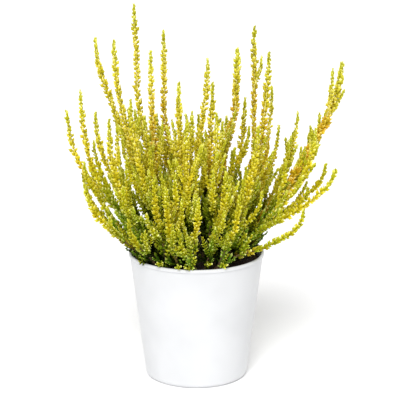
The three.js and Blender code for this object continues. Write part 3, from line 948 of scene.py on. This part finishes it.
# Leaf shapes, one unit long: each ring of a shoot has its rise and its half widths
SHOOT_STALK = 0.08
SHOOT_RINGS = ((0.24, 0.3, 0.16), (0.25, 0.15, 0.31), (0.25, 0.24, 0.12))
SHOOT_BEND = 0.05
SHOOT_TIP = (0, 0.03, 0.26)
LEAF_TIPS_FROM = 0.18
LEAF_TIP_LIFT = 0.06
NEEDLE_STALK = 0.09
NEEDLE_RINGS = (((0, -0.05, 0.45), (1.8, 1.5)),)
NEEDLE_TIP = (0, 0.12, 0.55)
BUD_LENGTH = 10
BUD_GIRTH = 0.55
BUD_LEAN = 0.02
BUD_PAST_TIP = 0.5
TIP_MARGIN = 1

# Green sprigs at a stem's foot, and sprays that reach over the pot's lip
BASAL_SPRIGS = 7
SPRIG_HEIGHTS = (1, 30)
SPRIG_FAN = 1.2
SPRIG_LENGTHS = (9, 23)
SPRIG_RISES = (0.35, 0.95)
SPRIG_BEND = 0.28
SPRIG_POINTS = 5
SPRIG_STEPS = 3
SPRIG_SHAFT = (0.4, 0.2)
LEVEL_LOSS = 0.4
RIM_SPRAYS = 1
FRONT_Y = -25
SPRAY_CIRCLE = 38
SPRAY_HEIGHTS = (6, 9)
SPRAY_FAN = 0.5
SPRAY_LENGTHS = (13, 18)
SPRAY_RISE = 0.3
SPRAY_GOLD = 0.12
TUFTED_SHARE = 0.6
TUFT_PITCH = 2.5
TUFT_LENGTH = 3.9
NEEDLE_PITCH = 1.6
NEEDLE_LENGTH = 3.2
SPRIG_FIRST_PAIR = 2
SPRIG_TURN_JITTER = 0.25
SPRIG_TIP_TAPER = 6
SPRIG_LEANS = (0.2, 0.95)
SPRIG_LEAN_JITTER = 0.14
SPRIG_SIZES = (0.75, 1.2)
SPRIG_TIP_SIZE = 0.65
SPRIG_OUT_FROM_SHAFT = 0.2
SPRIG_GOLD = (0.1, 0.008, 0.4)
SPRIG_GOLD_JITTER = 0.07
SPRIG_TONE_POWER = 1.4

# Short filling spires, with more in the plume at the right and in the broom at the left
FILLERS = 8
FILLER_LENGTHS = (22, 42)
FILLER_FOOT = 8
FILLER_TOP = 95
FILLER_HIGHEST = 0.6
FILLER_CIRCLE = 58
FILLER_SPREAD = 0.5
FILLER_BEND = 0.2
FILLER_POINTS = 7
FILLER_GIRTHS = (0.8, 1)
INWARD_PULL = 0.3
PLUME = 16
PLUME_SHARES = (0.22, 0.8)
PLUME_LENGTHS = (14, 26)
PLUME_SPREAD = 0.32
BROOM = 7
BROOM_SHARES = (0.2, 0.5)
BROOM_SIDE = (-90, -50)
BROOM_TOP = 240
SUNNY_SIDE = (70, 110)
SUNNY_TOP = (190, 230)

# Shafts
BARK_RIDGE = 0.7
WOODY = 30
WOODY_SHARE = 0.6
YOUNG_RADIUS = 1.0
TIP_SHAFT = 0.3
SHAFT_GOLD_SHARES = (0, 0.6)
SHAFT_TONE = 0.7
# Heights over which shafts go from painted shade to a cream painted highlight
SHAFT_TIP_HEIGHTS = (40, 130)

# How covered a leaf is by the spires round it, which the leaves' material turns into painted shade
CROWD_CHUNK = 400
CROWD_REACH = 120
CROWD_NEAR = 7
CROWD_AREA = 2 * SPINE_STEP * MAIN_RADIUS
SECTORS = 8
CAP_RISE = 0.82
LOWEST_RISE = -0.5
# Covers over which a leaf goes from no painted shade to full painted shade
PAINTED_SHADE_COVERS = (1.3, 2.3)
# Painted shade near the soil: extra cover for leaves low over it, and the heights over which it fades out
LOW_PAINTED_SHADE = 1.0
LOW_PAINTED_SHADE_HEIGHTS = (0, 34)

# What the leaves' material reads, painted shade and painted highlights among it
GOLD_SHARES = (0.02, 0.64)
GOLD_REACH = 150
GOLD_JITTER = 0.06
LOW_GOLD = 0.6
GOLD_HEIGHTS = (8, 58)
TIP_GOLD = 0.7
TIP_GOLD_LENGTH = 36
DEEP_GOLD = 0.7
STEM_WARMTH = 0.65
SUNNY_WARMTH = 0.45
INNER_WARMTH = 0.3
INNER_CIRCLES = (10, 60)
WARM_LENGTHS = (8, 70)
WARMTH_JITTER = 0.12
SPIRE_TONES = (-0.25, 0.2)
# Painted shade at the foot of each shoot, on open and on covered leaves
FOOT_LIGHT = (0.44, 0.2)
FOOT_LIGHT_POWER = 0.8
TONE_LIGHT = (0.68, 1.15)
# Painted shade: how light the most covered leaves stay
DEEP_LIGHT = 0.04
LIGHTEST = 1.12
# Painted highlight: a cream tint on the shoots' tips, more on leaves of light tone, less on covered leaves,
# and on the upper spires
PALE_HIGHLIGHT_TIPS = (0.6, 1)
TONE_PALE_HIGHLIGHT = (0.35, 1.15)
COVERED_HIGHLIGHT_LOSS = 0.5
HIGH_PALE_HIGHLIGHT = 0.14
PALE_HIGHLIGHT_HEIGHTS = (70, 190)


class HeatherFoliageSettings(bpy.types.PropertyGroup):
    """Sizes and colours of the foliage."""

    pair_pitch: length_setting(
        "Pair pitch", "Distance between pairs of leafy short shoots along a spire", PAIR_PITCH, 1.5, 5
    )
    shoot_lean: FloatProperty(
        name="Shoot lean",
        description="Angle between a spire and the short shoots on it",
        default=math.radians(SHOOT_LEAN),
        min=math.radians(20),
        max=math.radians(80),
        subtype="ANGLE",
        unit="ROTATION",
    )
    gold: colour_setting("Gold", "Colour of the sunlit golden leaves", "#ECDC34")
    green: colour_setting("Green", "Colour of the shaded leaves near the soil", "#8CB424")


def shoot_model():
    """A leafy short shoot: rings of scale leaves in crossed pairs, each pair wide where the next is
    narrow, to a closed tip."""
    rings = []
    across = along = SHOOT_STALK
    for rise, new_across, new_along in SHOOT_RINGS:
        rings.append(((0, SHOOT_BEND * rise, rise), (new_across / across, new_along / along)))
        across, along = new_across, new_along
    shoot = grown("shoot", 4, SHOOT_STALK, rings, SHOOT_TIP)
    select_corners(shoot, lambda at: max(abs(at.x), abs(at.y)) > LEAF_TIPS_FROM)
    bpy.ops.transform.translate(value=(0, 0, LEAF_TIP_LIFT))
    return grown_model(shoot)


def needle_model():
    """A needle leaf of a young sprig, three sided."""
    return grown_model(grown("needle", 3, NEEDLE_STALK, NEEDLE_RINGS, NEEDLE_TIP))


class Course:
    """A smooth line through a spire's points, read by the distance along it."""

    def __init__(self, points, steps=COURSE_STEPS):
        before = np.vstack([2 * points[0] - points[1], points[:-1]])
        after = np.vstack([points[1:], 2 * points[-1] - points[-2]])
        slopes = (after - before) / 2
        t = np.arange(steps)[:, None] / steps
        pieces = []
        for a, b, u, v in zip(points[:-1], points[1:], slopes[:-1], slopes[1:]):
            curve = (2 * t**3 - 3 * t**2 + 1) * a + (t**3 - 2 * t**2 + t) * u
            curve += (3 * t**2 - 2 * t**3) * b + (t**3 - t**2) * v
            pieces.append(curve)
        self.line = np.vstack([*pieces, points[-1:]])
        gaps = np.linalg.norm(np.diff(self.line, axis=0), axis=1)
        self.run = np.concatenate([[0], np.cumsum(gaps)])
        self.length = self.run[-1]

    def at(self, distance):
        return np.stack([np.interp(distance, self.run, self.line[:, k]) for k in range(3)], -1)

    def along(self, distance):
        return unit(self.at(distance + SLOPE_REACH) - self.at(distance - SLOPE_REACH))


def sideways(course):
    """A level direction square to the plane in which a spire bends."""
    out = course.line[-1] - course.line[0]
    out[2] = 0
    if np.linalg.norm(out) < LEAST_OUT:
        out = np.array([1.0, 0, 0])
    return unit(np.cross([0, 0, 1.0], out))


def leaf_axes(course, distance, turn, lean):
    """Axes of shoots that leave a spire at a turn round it and a lean away from it, as rows."""
    along = course.along(distance)
    level = sideways(course)
    first = unit(level - (along @ level)[:, None] * along)
    second = np.cross(along, first)
    out = first * np.cos(turn)[:, None] + second * np.sin(turn)[:, None]
    grow = along * np.cos(lean)[:, None] + out * np.sin(lean)[:, None]
    inward = unit(along - (along * grow).sum(axis=1, keepdims=True) * grow)
    return np.stack([np.cross(inward, grow), inward, grow], axis=1), out


class Leafage:
    """Collects the leaves of one stem and what its material reads for each corner."""

    def __init__(self):
        self.corners, self.triangles, self.count = [], [], 0
        # depth is how covered each leaf is, which becomes painted shade
        self.numbers = {name: [] for name in ("gold", "warmth", "tone", "tip", "depth")}

    def add(self, model, places, axes, sizes, gold, warmth, tone, depth):
        corners, triangles = copies(model, places, axes, sizes)
        self.corners.append(corners)
        self.triangles.append(triangles + self.count)
        self.count += len(corners)
        each = len(model[0])
        numbers = {"gold": gold, "warmth": warmth, "tone": tone, "depth": depth}
        for name, values in numbers.items():
            self.numbers[name].append(np.repeat(values, each))
        self.numbers["tip"].append(np.tile(np.clip(model[0][:, 2], 0, 1), len(places)))

    def object(self, name):
        obj = mesh_object(name, np.vstack(self.corners), np.vstack(self.triangles))
        finish_numbers(obj, {key: np.concatenate(values) for key, values in self.numbers.items()})
        return obj


def finish_numbers(obj, numbers):
    """Writes what the leaves' material reads: how light each corner is, which is painted shade on covered
    leaves and at the shoots' feet times the leaf's random tone, and a cream painted highlight on tips and
    upper spires, besides how golden and how warm."""
    tip, depth, tone = (numbers[name] for name in ("tip", "depth", "tone"))
    height = corners_of(obj.data)[:, 2] / MM - SOIL_EDGE_Z
    # Painted shade: how far a leaf is covered by the spires round it; covered leaves are darkened and lose
    # some gold
    closed = smooth_step(*PAINTED_SHADE_COVERS, depth)
    # Painted shade at the shoots' feet and on covered leaves, times the random tone of each leaf
    light = lerp(lerp(*FOOT_LIGHT, closed), 1, tip**FOOT_LIGHT_POWER)
    light = light * lerp(*TONE_LIGHT, tone) * lerp(1, DEEP_LIGHT, closed)
    # Painted highlight: a cream tint on the shoots' tips, weaker on covered leaves, and on the upper spires
    pale_highlight = smooth_step(*PALE_HIGHLIGHT_TIPS, tip) * lerp(*TONE_PALE_HIGHLIGHT, tone**2)
    pale_highlight = pale_highlight * (1 - COVERED_HIGHLIGHT_LOSS * closed) + HIGH_PALE_HIGHLIGHT * smooth_step(*PALE_HIGHLIGHT_HEIGHTS, height)
    add_number(obj, "gold", numbers["gold"] * lerp(1, DEEP_GOLD, closed))
    add_number(obj, "warmth", numbers["warmth"])
    add_number(obj, "light", light)
    add_number(obj, "pale_highlight", pale_highlight)


def pair_stations(start, end, pitch, tip_pitch):
    """Distances of the pairs along a spire, closer together near its tip."""
    stations = []
    at = start
    while at < end:
        stations.append(at)
        at += lerp(tip_pitch, pitch, min(1, (end - at) / TIP_TAPER))
    return np.array(stations)


def crossed_pairs(rng, stations):
    """Distances and turns of shoots in pairs, each pair square to the one before it."""
    count = len(stations)
    turn = np.repeat(rng.uniform(0, FULL_TURN) + np.arange(count) * FULL_TURN / 4, 2)
    return np.repeat(stations, 2), turn + np.tile([0, math.pi], count)


def clothe_spire(leafage, model, rng, spire, pitch, lean, warmth):
    """Sets crossed pairs of short shoots along a spire, and a bud at its end."""
    course = spire["course"]
    start = spire["bare"] + FIRST_PAIR if spire["parent"] is None else FIRST_SIDE_PAIR
    pitch = pitch * rng.uniform(*PITCH_SHARES)
    stations = pair_stations(start, course.length - LAST_PAIR, pitch, TIP_PITCH)
    distance, turn = crossed_pairs(rng, stations)
    count = len(distance)
    turn = turn + np.radians(rng.normal(0, TURN_JITTER, count))
    turn = turn + rng.normal(0, TWIST) * distance
    distance = distance + rng.uniform(-PAIR_JITTER, PAIR_JITTER, count)
    from_tip = course.length - distance
    leaning = np.clip(from_tip / LEAN_TAPER, 0, 1) ** LEAN_POWER
    leaning = lerp(math.radians(TIP_LEAN), lean, leaning)
    leaning = leaning + np.radians(rng.normal(0, LEAN_JITTER, count))
    swell = lerp(ROOT_SHARE, 1, np.clip((distance - spire["bare"]) / ROOT_TAPER, 0, 1))
    taper_length = WIDE_TAPER if spire["radius"] > WIDE_SPIRE else WIDTH_TAPER
    taper = lerp(LEAFY_TIP_SHARE, 1, np.clip(from_tip / taper_length, 0, 1) ** TAPER_POWER)
    sizes = SHOOT_REACH * spire["radius"] * np.minimum(swell, taper)
    sizes = sizes * rng.uniform(*SHOOT_SIZES, count)
    axes, out = leaf_axes(course, distance, turn, leaning)
    axes[:, :2] *= rng.uniform(*SHOOT_GIRTHS, count)[:, None, None]
    bud_end = np.array([course.length - TIP_MARGIN])
    bud_axes, _ = leaf_axes(course, bud_end, np.zeros(1), np.full(1, BUD_LEAN))
    bud_axes[:, :2] *= BUD_GIRTH
    bud_foot = course.at(np.array([course.length - BUD_LENGTH + BUD_PAST_TIP]))
    places = np.vstack([course.at(distance) + SHOOT_OUT * out, bud_foot])
    axes = np.concatenate([axes, bud_axes])
    sizes = np.append(sizes, BUD_LENGTH)
    distance = np.append(distance, course.length)
    from_tip = course.length - distance
    gold = goldness(spire, places, rng)
    gold = gold * lerp(TIP_GOLD, 1, smooth_step(0, TIP_GOLD_LENGTH, from_tip))
    tone = np.clip(rng.uniform(0, 1, len(places)) + rng.uniform(*SPIRE_TONES), 0, 1)
    inside = 1 - smooth_step(*INNER_CIRCLES, np.hypot(places[:, 0], places[:, 1]))
    warm = (warmth + INNER_WARMTH * inside) * smooth_step(*WARM_LENGTHS, from_tip)
    warm = np.clip(warm + rng.normal(0, WARMTH_JITTER, len(places)), 0, 1)
    # How covered each shoot is, for the painted shade on covered leaves
    depth = cover_of(places, spire["crowd"])
    leafage.add(model, places, axes, sizes, gold, warm, tone, depth)


def cover_of(places, crowd):
    """How covered places are on their most open side, by the spires round and above them: the sky is parted
    into sectors round each place and one cap over it. Places near the soil count as more covered, and the
    leaves' material turns the cover into painted shade."""
    covers = []
    for start in range(0, len(places), CROWD_CHUNK):
        away = crowd[None] - places[start : start + CROWD_CHUNK, None]
        far = np.maximum(np.linalg.norm(away, axis=2), LEAST_APART)
        rise = away[..., 2] / far
        seen = (far < CROWD_REACH) & (rise > LOWEST_RISE)
        cover = np.where(seen, CROWD_AREA / np.maximum(far, CROWD_NEAR) ** 2, 0)
        turn = np.arctan2(away[..., 1], away[..., 0]) / FULL_TURN % 1
        sector = np.where(rise > CAP_RISE, SECTORS, (turn * SECTORS).astype(int) % SECTORS)
        parts = [np.where(sector == k, cover, 0).sum(axis=1) for k in range(SECTORS + 1)]
        ring = np.stack(parts[:SECTORS], axis=1) * SECTORS / (CAP_RISE - LOWEST_RISE)
        ring = (np.roll(ring, 1, axis=1) + 2 * ring + np.roll(ring, -1, axis=1)) / 4
        covers.append(np.minimum(ring.min(axis=1), parts[SECTORS] / (1 - CAP_RISE)))
    # Painted shade near the soil: places low over it count as more covered
    low = 1 - smooth_step(*LOW_PAINTED_SHADE_HEIGHTS, places[:, 2] - SOIL_EDGE_Z)
    return np.concatenate(covers) / FULL_TURN + LOW_PAINTED_SHADE * low


def goldness(spire, places, rng):
    """How golden leaves are: green near the soil, gold where the light falls."""
    height = places[:, 2] - SOIL_EDGE_Z
    gold = smooth_step(*GOLD_SHARES, height / min(spire["stem_reach"], GOLD_REACH))
    gold = gold * lerp(LOW_GOLD, 1, smooth_step(*GOLD_HEIGHTS, height))
    return np.clip(gold + rng.normal(0, GOLD_JITTER, len(places)), 0, 1)


def bent_line(root, heading, length, bend, count):
    """Points of a line that leaves its root along a heading and bends upwards."""
    t = np.linspace(0, 1, count)[:, None]
    return root + heading * length * t + np.array([0, 0, bend * length]) * t**2


def clothe_sprigs(leafage, shafts, shoot, needle, rng, main):
    """Grows short green sprigs from the foot of a stem, some with tufts and some with needles, and
    at the front sprays that reach over the pot's lip."""
    course = main["course"]
    foot = main["points"][2]
    outward = math.atan2(foot[1], foot[0])
    at_front = foot[1] < FRONT_Y and math.hypot(foot[0], foot[1]) > SPRAY_CIRCLE
    for number in range(BASAL_SPRIGS + (RIM_SPRAYS if at_front else 0)):
        over_rim = number >= BASAL_SPRIGS
        root_at = STALK_DEPTH + rng.uniform(*(SPRAY_HEIGHTS if over_rim else SPRIG_HEIGHTS))
        root = course.at(np.array([root_at]))[0]
        turn = outward + rng.normal(0, SPRAY_FAN if over_rim else SPRIG_FAN)
        length = rng.uniform(*(SPRAY_LENGTHS if over_rim else SPRIG_LENGTHS))
        rise = SPRAY_RISE if over_rim else rng.uniform(*SPRIG_RISES)
        level = 1 - LEVEL_LOSS * rise
        heading = unit(np.array([math.cos(turn) * level, math.sin(turn) * level, rise]))
        bend = 0 if over_rim else SPRIG_BEND
        line = Course(bent_line(root, heading, length, bend, SPRIG_POINTS), SPRIG_STEPS)
        shafts.append((line, 0, line.length, *SPRIG_SHAFT))
        if over_rim or rng.uniform() < TUFTED_SHARE:
            model, pitch, size = shoot, TUFT_PITCH, TUFT_LENGTH
        else:
            model, pitch, size = needle, NEEDLE_PITCH, NEEDLE_LENGTH
        distance, turns = crossed_pairs(rng, np.arange(SPRIG_FIRST_PAIR, line.length, pitch))
        count = len(distance)
        turns = turns + rng.normal(0, SPRIG_TURN_JITTER, count)
        near_tip = np.clip((line.length - distance) / SPRIG_TIP_TAPER, 0, 1)
        lean = lerp(*SPRIG_LEANS, near_tip) + rng.normal(0, SPRIG_LEAN_JITTER, count)
        sizes = size * rng.uniform(*SPRIG_SIZES, count) * lerp(SPRIG_TIP_SIZE, 1, near_tip)
        axes, out = leaf_axes(line, distance, turns, lean)
        places = line.at(distance) + SPRIG_OUT_FROM_SHAFT * out
        least, rising, running = SPRIG_GOLD
        gold = least + rising * (places[:, 2] - SOIL_EDGE_Z) + running * distance / line.length
        gold = gold + rng.normal(0, SPRIG_GOLD_JITTER, count)
        gold = np.clip(gold + (SPRAY_GOLD if over_rim else 0), 0, 1)
        tone = rng.uniform(0, 1, count) ** SPRIG_TONE_POWER
        # How covered each sprig leaf is, for the painted shade on covered leaves
        depth = cover_of(places, main["crowd"])
        leafage.add(model, places, axes, sizes, gold, np.zeros(count), tone, depth)


def sunny(spire):
    """How far a spire belongs to the sunny ones, tall and far to the right."""
    end = spire["points"][-1]
    return smooth_step(*SUNNY_SIDE, end[0]) * smooth_step(*SUNNY_TOP, end[2])


def broom_like(spire):
    """Whether a spire is a tall one at the left, where the lower halves stand close together."""
    end = spire["points"][-1]
    return BROOM_SIDE[0] < end[0] < BROOM_SIDE[1] and end[2] > BROOM_TOP


def fillers_of(rng, main):
    """Short spires low inside the plant, from one stem: they close the view through it. The
    sunny stems at the right have more of them, all the way up, as a plume, and the tall ones at
    the left have more on their lower halves."""
    fillers = []
    course = main["course"]
    in_broom = broom_like(main)
    more = BROOM if in_broom else round(PLUME * sunny(main))
    shares = BROOM_SHARES if in_broom else PLUME_SHARES
    for number in range(FILLERS + more):
        extra = number >= FILLERS
        highest = FILLER_HIGHEST * course.length
        root_at = min(STALK_DEPTH + rng.uniform(FILLER_FOOT, FILLER_TOP), highest)
        if extra:
            root_at = rng.uniform(*shares) * course.length
        root = course.at(np.array([root_at]))[0]
        turn = rng.uniform(0, FULL_TURN)
        length = rng.uniform(*(PLUME_LENGTHS if extra and not in_broom else FILLER_LENGTHS))
        if math.hypot(root[0], root[1]) > FILLER_CIRCLE and not extra:
            continue
        inward = -INWARD_PULL * unit(root[:2])
        level = np.array([math.cos(turn) + inward[0], math.sin(turn) + inward[1], 0])
        spread = PLUME_SPREAD if extra else FILLER_SPREAD
        heading = unit(course.along(np.array([root_at]))[0] + spread * level)
        points = bent_line(root, heading, length, FILLER_BEND, FILLER_POINTS)
        filler = spire_of(main["stem"], points, SIDE_RADIUS * rng.uniform(*FILLER_GIRTHS), parent=main)
        filler["crowd"] = main["crowd"]
        fillers.append(filler)
    return fillers


def shaft_object(name, shafts):
    """Round tapering shafts, each a course with the part of it and the two radii, as a mesh."""
    curve = bpy.data.curves.new(name, "CURVE")
    curve.dimensions = "3D"
    curve.fill_mode = "FULL"
    curve.bevel_depth = MM
    curve.bevel_resolution = 1
    curve.use_fill_caps = True
    for course, start, end, root_radius, tip_radius in shafts:
        count = max(FEWEST_STEPS, int((end - start) / SPINE_STEP) + 1)
        shares = np.linspace(0, 1, count)
        places = course.at(lerp(start, end, shares)) * MM
        line = curve.splines.new("POLY")
        line.points.add(count - 1)
        for point, at, share in zip(line.points, places, shares):
            point.co = (*at, 1)
            point.radius = lerp(root_radius, tip_radius, share)
    obj = bpy.data.objects.new(name, curve)
    bpy.context.scene.collection.objects.link(obj)
    take(obj)
    bpy.ops.object.convert(target="MESH")
    return bpy.context.object


def colour_shafts(obj, main):
    """Gives young shafts what the leaves' material reads, by their height and how covered they are: painted
    shade on low and covered shafts and a cream painted highlight on high ones.
    """
    places = corners_of(obj.data) / MM
    height = places[:, 2] - SOIL_EDGE_Z
    reach = min(main["stem_reach"], GOLD_REACH)
    numbers = {
        "gold": smooth_step(*SHAFT_GOLD_SHARES, height / reach),
        "warmth": np.zeros(len(height)),
        "tone": np.full(len(height), SHAFT_TONE),
        "tip": smooth_step(*SHAFT_TIP_HEIGHTS, height),
        "depth": cover_of(places, main["crowd"]),
    }
    finish_numbers(obj, numbers)


def heather_leaves(gold_colour, green_colour):
    """Scale leaves of a golden ling: small, waxy and matt, golden where the light falls and green near the
    soil, some tinged with orange. Painted shade darkens covered leaves and the shoots' feet, and a cream
    painted highlight lightens the tips."""
    material, tree, shader = new_material("Golden ling scale leaves")
    gold, warmth, light, pale_highlight = (
        add_node(tree, "ShaderNodeAttribute", attribute_name=name).outputs["Fac"]
        for name in ("gold", "warmth", "light", "pale_highlight")
    )
    stops = [
        (0, srgb("#4A7A1E")),
        (0.3, list(green_colour)),
        (0.6, srgb("#BEC62A")),
        (0.8, srgb("#E0DC30")),
        (1, list(gold_colour)),
    ]
    inputs = {"Value": warmth, "From Min": 0.35, "From Max": 1, "To Min": 0, "To Max": 0.75}
    warm = add_node(tree, "ShaderNodeMapRange", inputs).outputs["Result"]
    leaf = mixed(tree, warm, ramp(tree, gold, stops), (*srgb("#E8A624"), 1))
    # Painted highlight: a cream tint on tips and upper spires
    leaf = mixed(tree, pale_highlight, leaf, (*srgb("#FAF6B4"), 1))
    # Painted shade: the light number darkens and deepens the leaf colour, with each leaf's random tone
    share = add_node(tree, "ShaderNodeMath", {0: light, 1: LIGHTEST}, operation="DIVIDE")
    painted_shades = [
        (0, [0.02, 0.025, 0.01]),
        (0.4 / LIGHTEST, [0.4, 0.38, 0.05]),
        (0.8 / LIGHTEST, [0.82, 0.8, 0.42]),
        (1, [LIGHTEST] * 3),
    ]
    leaf = mixed(tree, 1.0, leaf, ramp(tree, share.outputs[0], painted_shades), "MULTIPLY")
    feed(tree, shader, {"Base Color": leaf, "Roughness": 0.6, "Specular IOR Level": 0.06})
    return material


def heather_bark():
    """Bark of a heather stalk: thin, matt, grey-brown and finely ridged along the stalk."""
    material, tree, shader = new_material("Heather bark")
    stretch = {"Vector": object_place(tree), "Scale": (1, 1, 0.25)}
    long = add_node(tree, "ShaderNodeMapping", stretch).outputs["Vector"]
    stops = [(0.3, srgb("#33240F")), (0.7, srgb("#7A6238"))]
    tint = ramp(tree, noise(tree, long, BARK_RIDGE, detail=4), stops)
    feed(tree, shader, {"Base Color": tint, "Roughness": 0.85})
    return material


class HEATHER_OT_leafy_stems(bpy.types.Operator):
    """Grows every leafy stem along its solid's spines"""

    bl_idname = "heather.leafy_stems"
    bl_label = "Leafy stems"

    def execute(self, context):
        settings = context.scene.heather_foliage
        spires = lay_out()
        ease_apart(spires)
        beads = np.vstack([spire["points"] for spire in spires])
        for spire in spires:
            spire["crowd"] = beads
        shoot = shoot_model()
        needle = needle_model()
        leaves = heather_leaves(settings.gold, settings.green)
        bark = heather_bark()
        rng = np.random.default_rng(FOLIAGE_SEED)
        for number in range(len(STEMS)):
            own = [spire for spire in spires if spire["stem"] == number]
            reach = own[0]["points"][-1][2] - SOIL_EDGE_Z
            leafage = Leafage()
            stalks, shafts = [], []
            own[0]["course"] = Course(own[0]["points"])
            own[0]["stem_reach"] = reach
            own += fillers_of(rng, own[0])
            for spire in own:
                spire["course"] = Course(spire["points"])
                spire["stem_reach"] = reach
                warmth = rng.uniform(0, STEM_WARMTH) + SUNNY_WARMTH * sunny(own[0])
                pitch = settings.pair_pitch / MM
                clothe_spire(leafage, shoot, rng, spire, pitch, settings.shoot_lean, warmth)
                course = spire["course"]
                woody = spire["bare"] + WOODY if spire["parent"] is None else 0
                woody = min(woody, WOODY_SHARE * course.length)
                if woody:
                    stalks.append((course, 0, woody, STALK_RADIUS, YOUNG_RADIUS))
                end = course.length - TIP_MARGIN
                shafts.append((course, woody, end, YOUNG_RADIUS, TIP_SHAFT))
            clothe_sprigs(leafage, shafts, shoot, needle, rng, own[0])
            name = f"leafy_stem_{number + 1:02d}"
            stem = leafage.object("foliage_" + name)
            stem.data.materials.append(leaves)
            young = shaft_object("young_" + name, shafts)
            young.data.materials.append(leaves)
            colour_shafts(young, own[0])
            wood = shaft_object("wood_" + name, stalks)
            wood.data.materials.append(bark)
            join_to(stem, [young, wood])
            bpy.ops.object.shade_flat()
            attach(stem, "root")
            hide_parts(name)
        return {"FINISHED"}


# Stage

CAMERA_DISTANCE = 1500
CAMERA_HEIGHT = 559
CAMERA_PITCH = 0.26
CAMERA_LENS = 158.7
CAMERA_SHIFT = 0.0089
FLOOR_SIZE = 16
KEY_SPREAD = 28
KEY_AZIMUTH = -8
KEY_ELEVATION = 42


class HeatherStageSettings(bpy.types.PropertyGroup):
    """Strength of the studio's light."""

    sky: strength_setting("Surround", "Strength of the even light from all sides", 0.74, 3)
    key: strength_setting("Key light", "Strength of the soft light from the upper left", 2.7, 10)


def soft_sun(name, strength, spread, azimuth, elevation):
    """A wide soft light from far away, at an azimuth from the front and a height in degrees."""
    deselect_all()
    bpy.ops.object.light_add(type="SUN", location=(0, 0, 1))
    light = active(name)
    light.data.energy = strength
    light.data.angle = math.radians(spread)
    light.rotation_euler = (math.radians(90 - elevation), 0, math.radians(azimuth))
    return light


class HEATHER_OT_stage(bpy.types.Operator):
    """Sets up the floor, the soft light and the camera"""

    bl_idname = "heather.stage"
    bl_label = "Stage"

    def execute(self, context):
        settings = context.scene.heather_stage
        scene = context.scene
        deselect_all()
        bpy.ops.mesh.primitive_plane_add(size=FLOOR_SIZE, location=(0, 0, 0))
        floor = active("floor")
        material, tree, shader = new_material("Matt white paper")
        feed(tree, shader, {"Base Color": (*srgb("#FCFCFC"), 1), "Roughness": 0.9})
        floor.data.materials.append(material)
        world = bpy.data.worlds.new("White studio")
        world.use_nodes = True
        background = world.node_tree.nodes["Background"]
        background.inputs["Color"].default_value = (1, 1, 1, 1)
        background.inputs["Strength"].default_value = settings.sky
        scene.world = world
        soft_sun("key light", settings.key, KEY_SPREAD, KEY_AZIMUTH, KEY_ELEVATION)
        deselect_all()
        bpy.ops.object.camera_add(
            location=(0, -CAMERA_DISTANCE * MM, CAMERA_HEIGHT * MM),
            rotation=(math.pi / 2 - CAMERA_PITCH, 0, 0),
        )
        camera = active("camera")
        camera.data.lens = CAMERA_LENS
        camera.data.shift_x = CAMERA_SHIFT
        scene.camera = camera
        scene.view_settings.view_transform = "Standard"
        return {"FINISHED"}


class HEATHER_PT_panel(bpy.types.Panel):
    """Lists the pieces of the potted heather with their settings"""

    bl_idname = "HEATHER_PT_panel"
    bl_label = "Potted Heather"
    bl_space_type = "VIEW_3D"
    bl_region_type = "UI"
    bl_category = "Heather"

    def draw(self, context):
        scene = context.scene
        for operator, settings in (
            (HEATHER_OT_pot, scene.heather_pot),
            (HEATHER_OT_soil, scene.heather_soil),
            (HEATHER_OT_leafy_stems, scene.heather_foliage),
            (HEATHER_OT_stage, scene.heather_stage),
        ):
            box = self.layout.box()
            for name in settings.bl_rna.properties.keys():
                if name not in ("rna_type", "name"):
                    box.prop(settings, name)
            box.operator(operator.bl_idname)


SETTINGS = {
    "heather_pot": HeatherPotSettings,
    "heather_soil": HeatherSoilSettings,
    "heather_foliage": HeatherFoliageSettings,
    "heather_stage": HeatherStageSettings,
}
OPERATORS = (HEATHER_OT_pot, HEATHER_OT_soil, HEATHER_OT_leafy_stems, HEATHER_OT_stage)


def register():
    for item in (*SETTINGS.values(), *OPERATORS, HEATHER_PT_panel):
        bpy.utils.register_class(item)
    for name, settings in SETTINGS.items():
        setattr(bpy.types.Scene, name, PointerProperty(type=settings))


def unregister():
    for name in SETTINGS:
        delattr(bpy.types.Scene, name)
    for item in reversed((*SETTINGS.values(), *OPERATORS, HEATHER_PT_panel)):
        bpy.utils.unregister_class(item)


def main():
    register()
    bpy.ops.heather.pot()
    bpy.ops.heather.soil()
    bpy.ops.heather.leafy_stems()
    bpy.ops.heather.stage()
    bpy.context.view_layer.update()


if __name__ == "__main__":
    main()
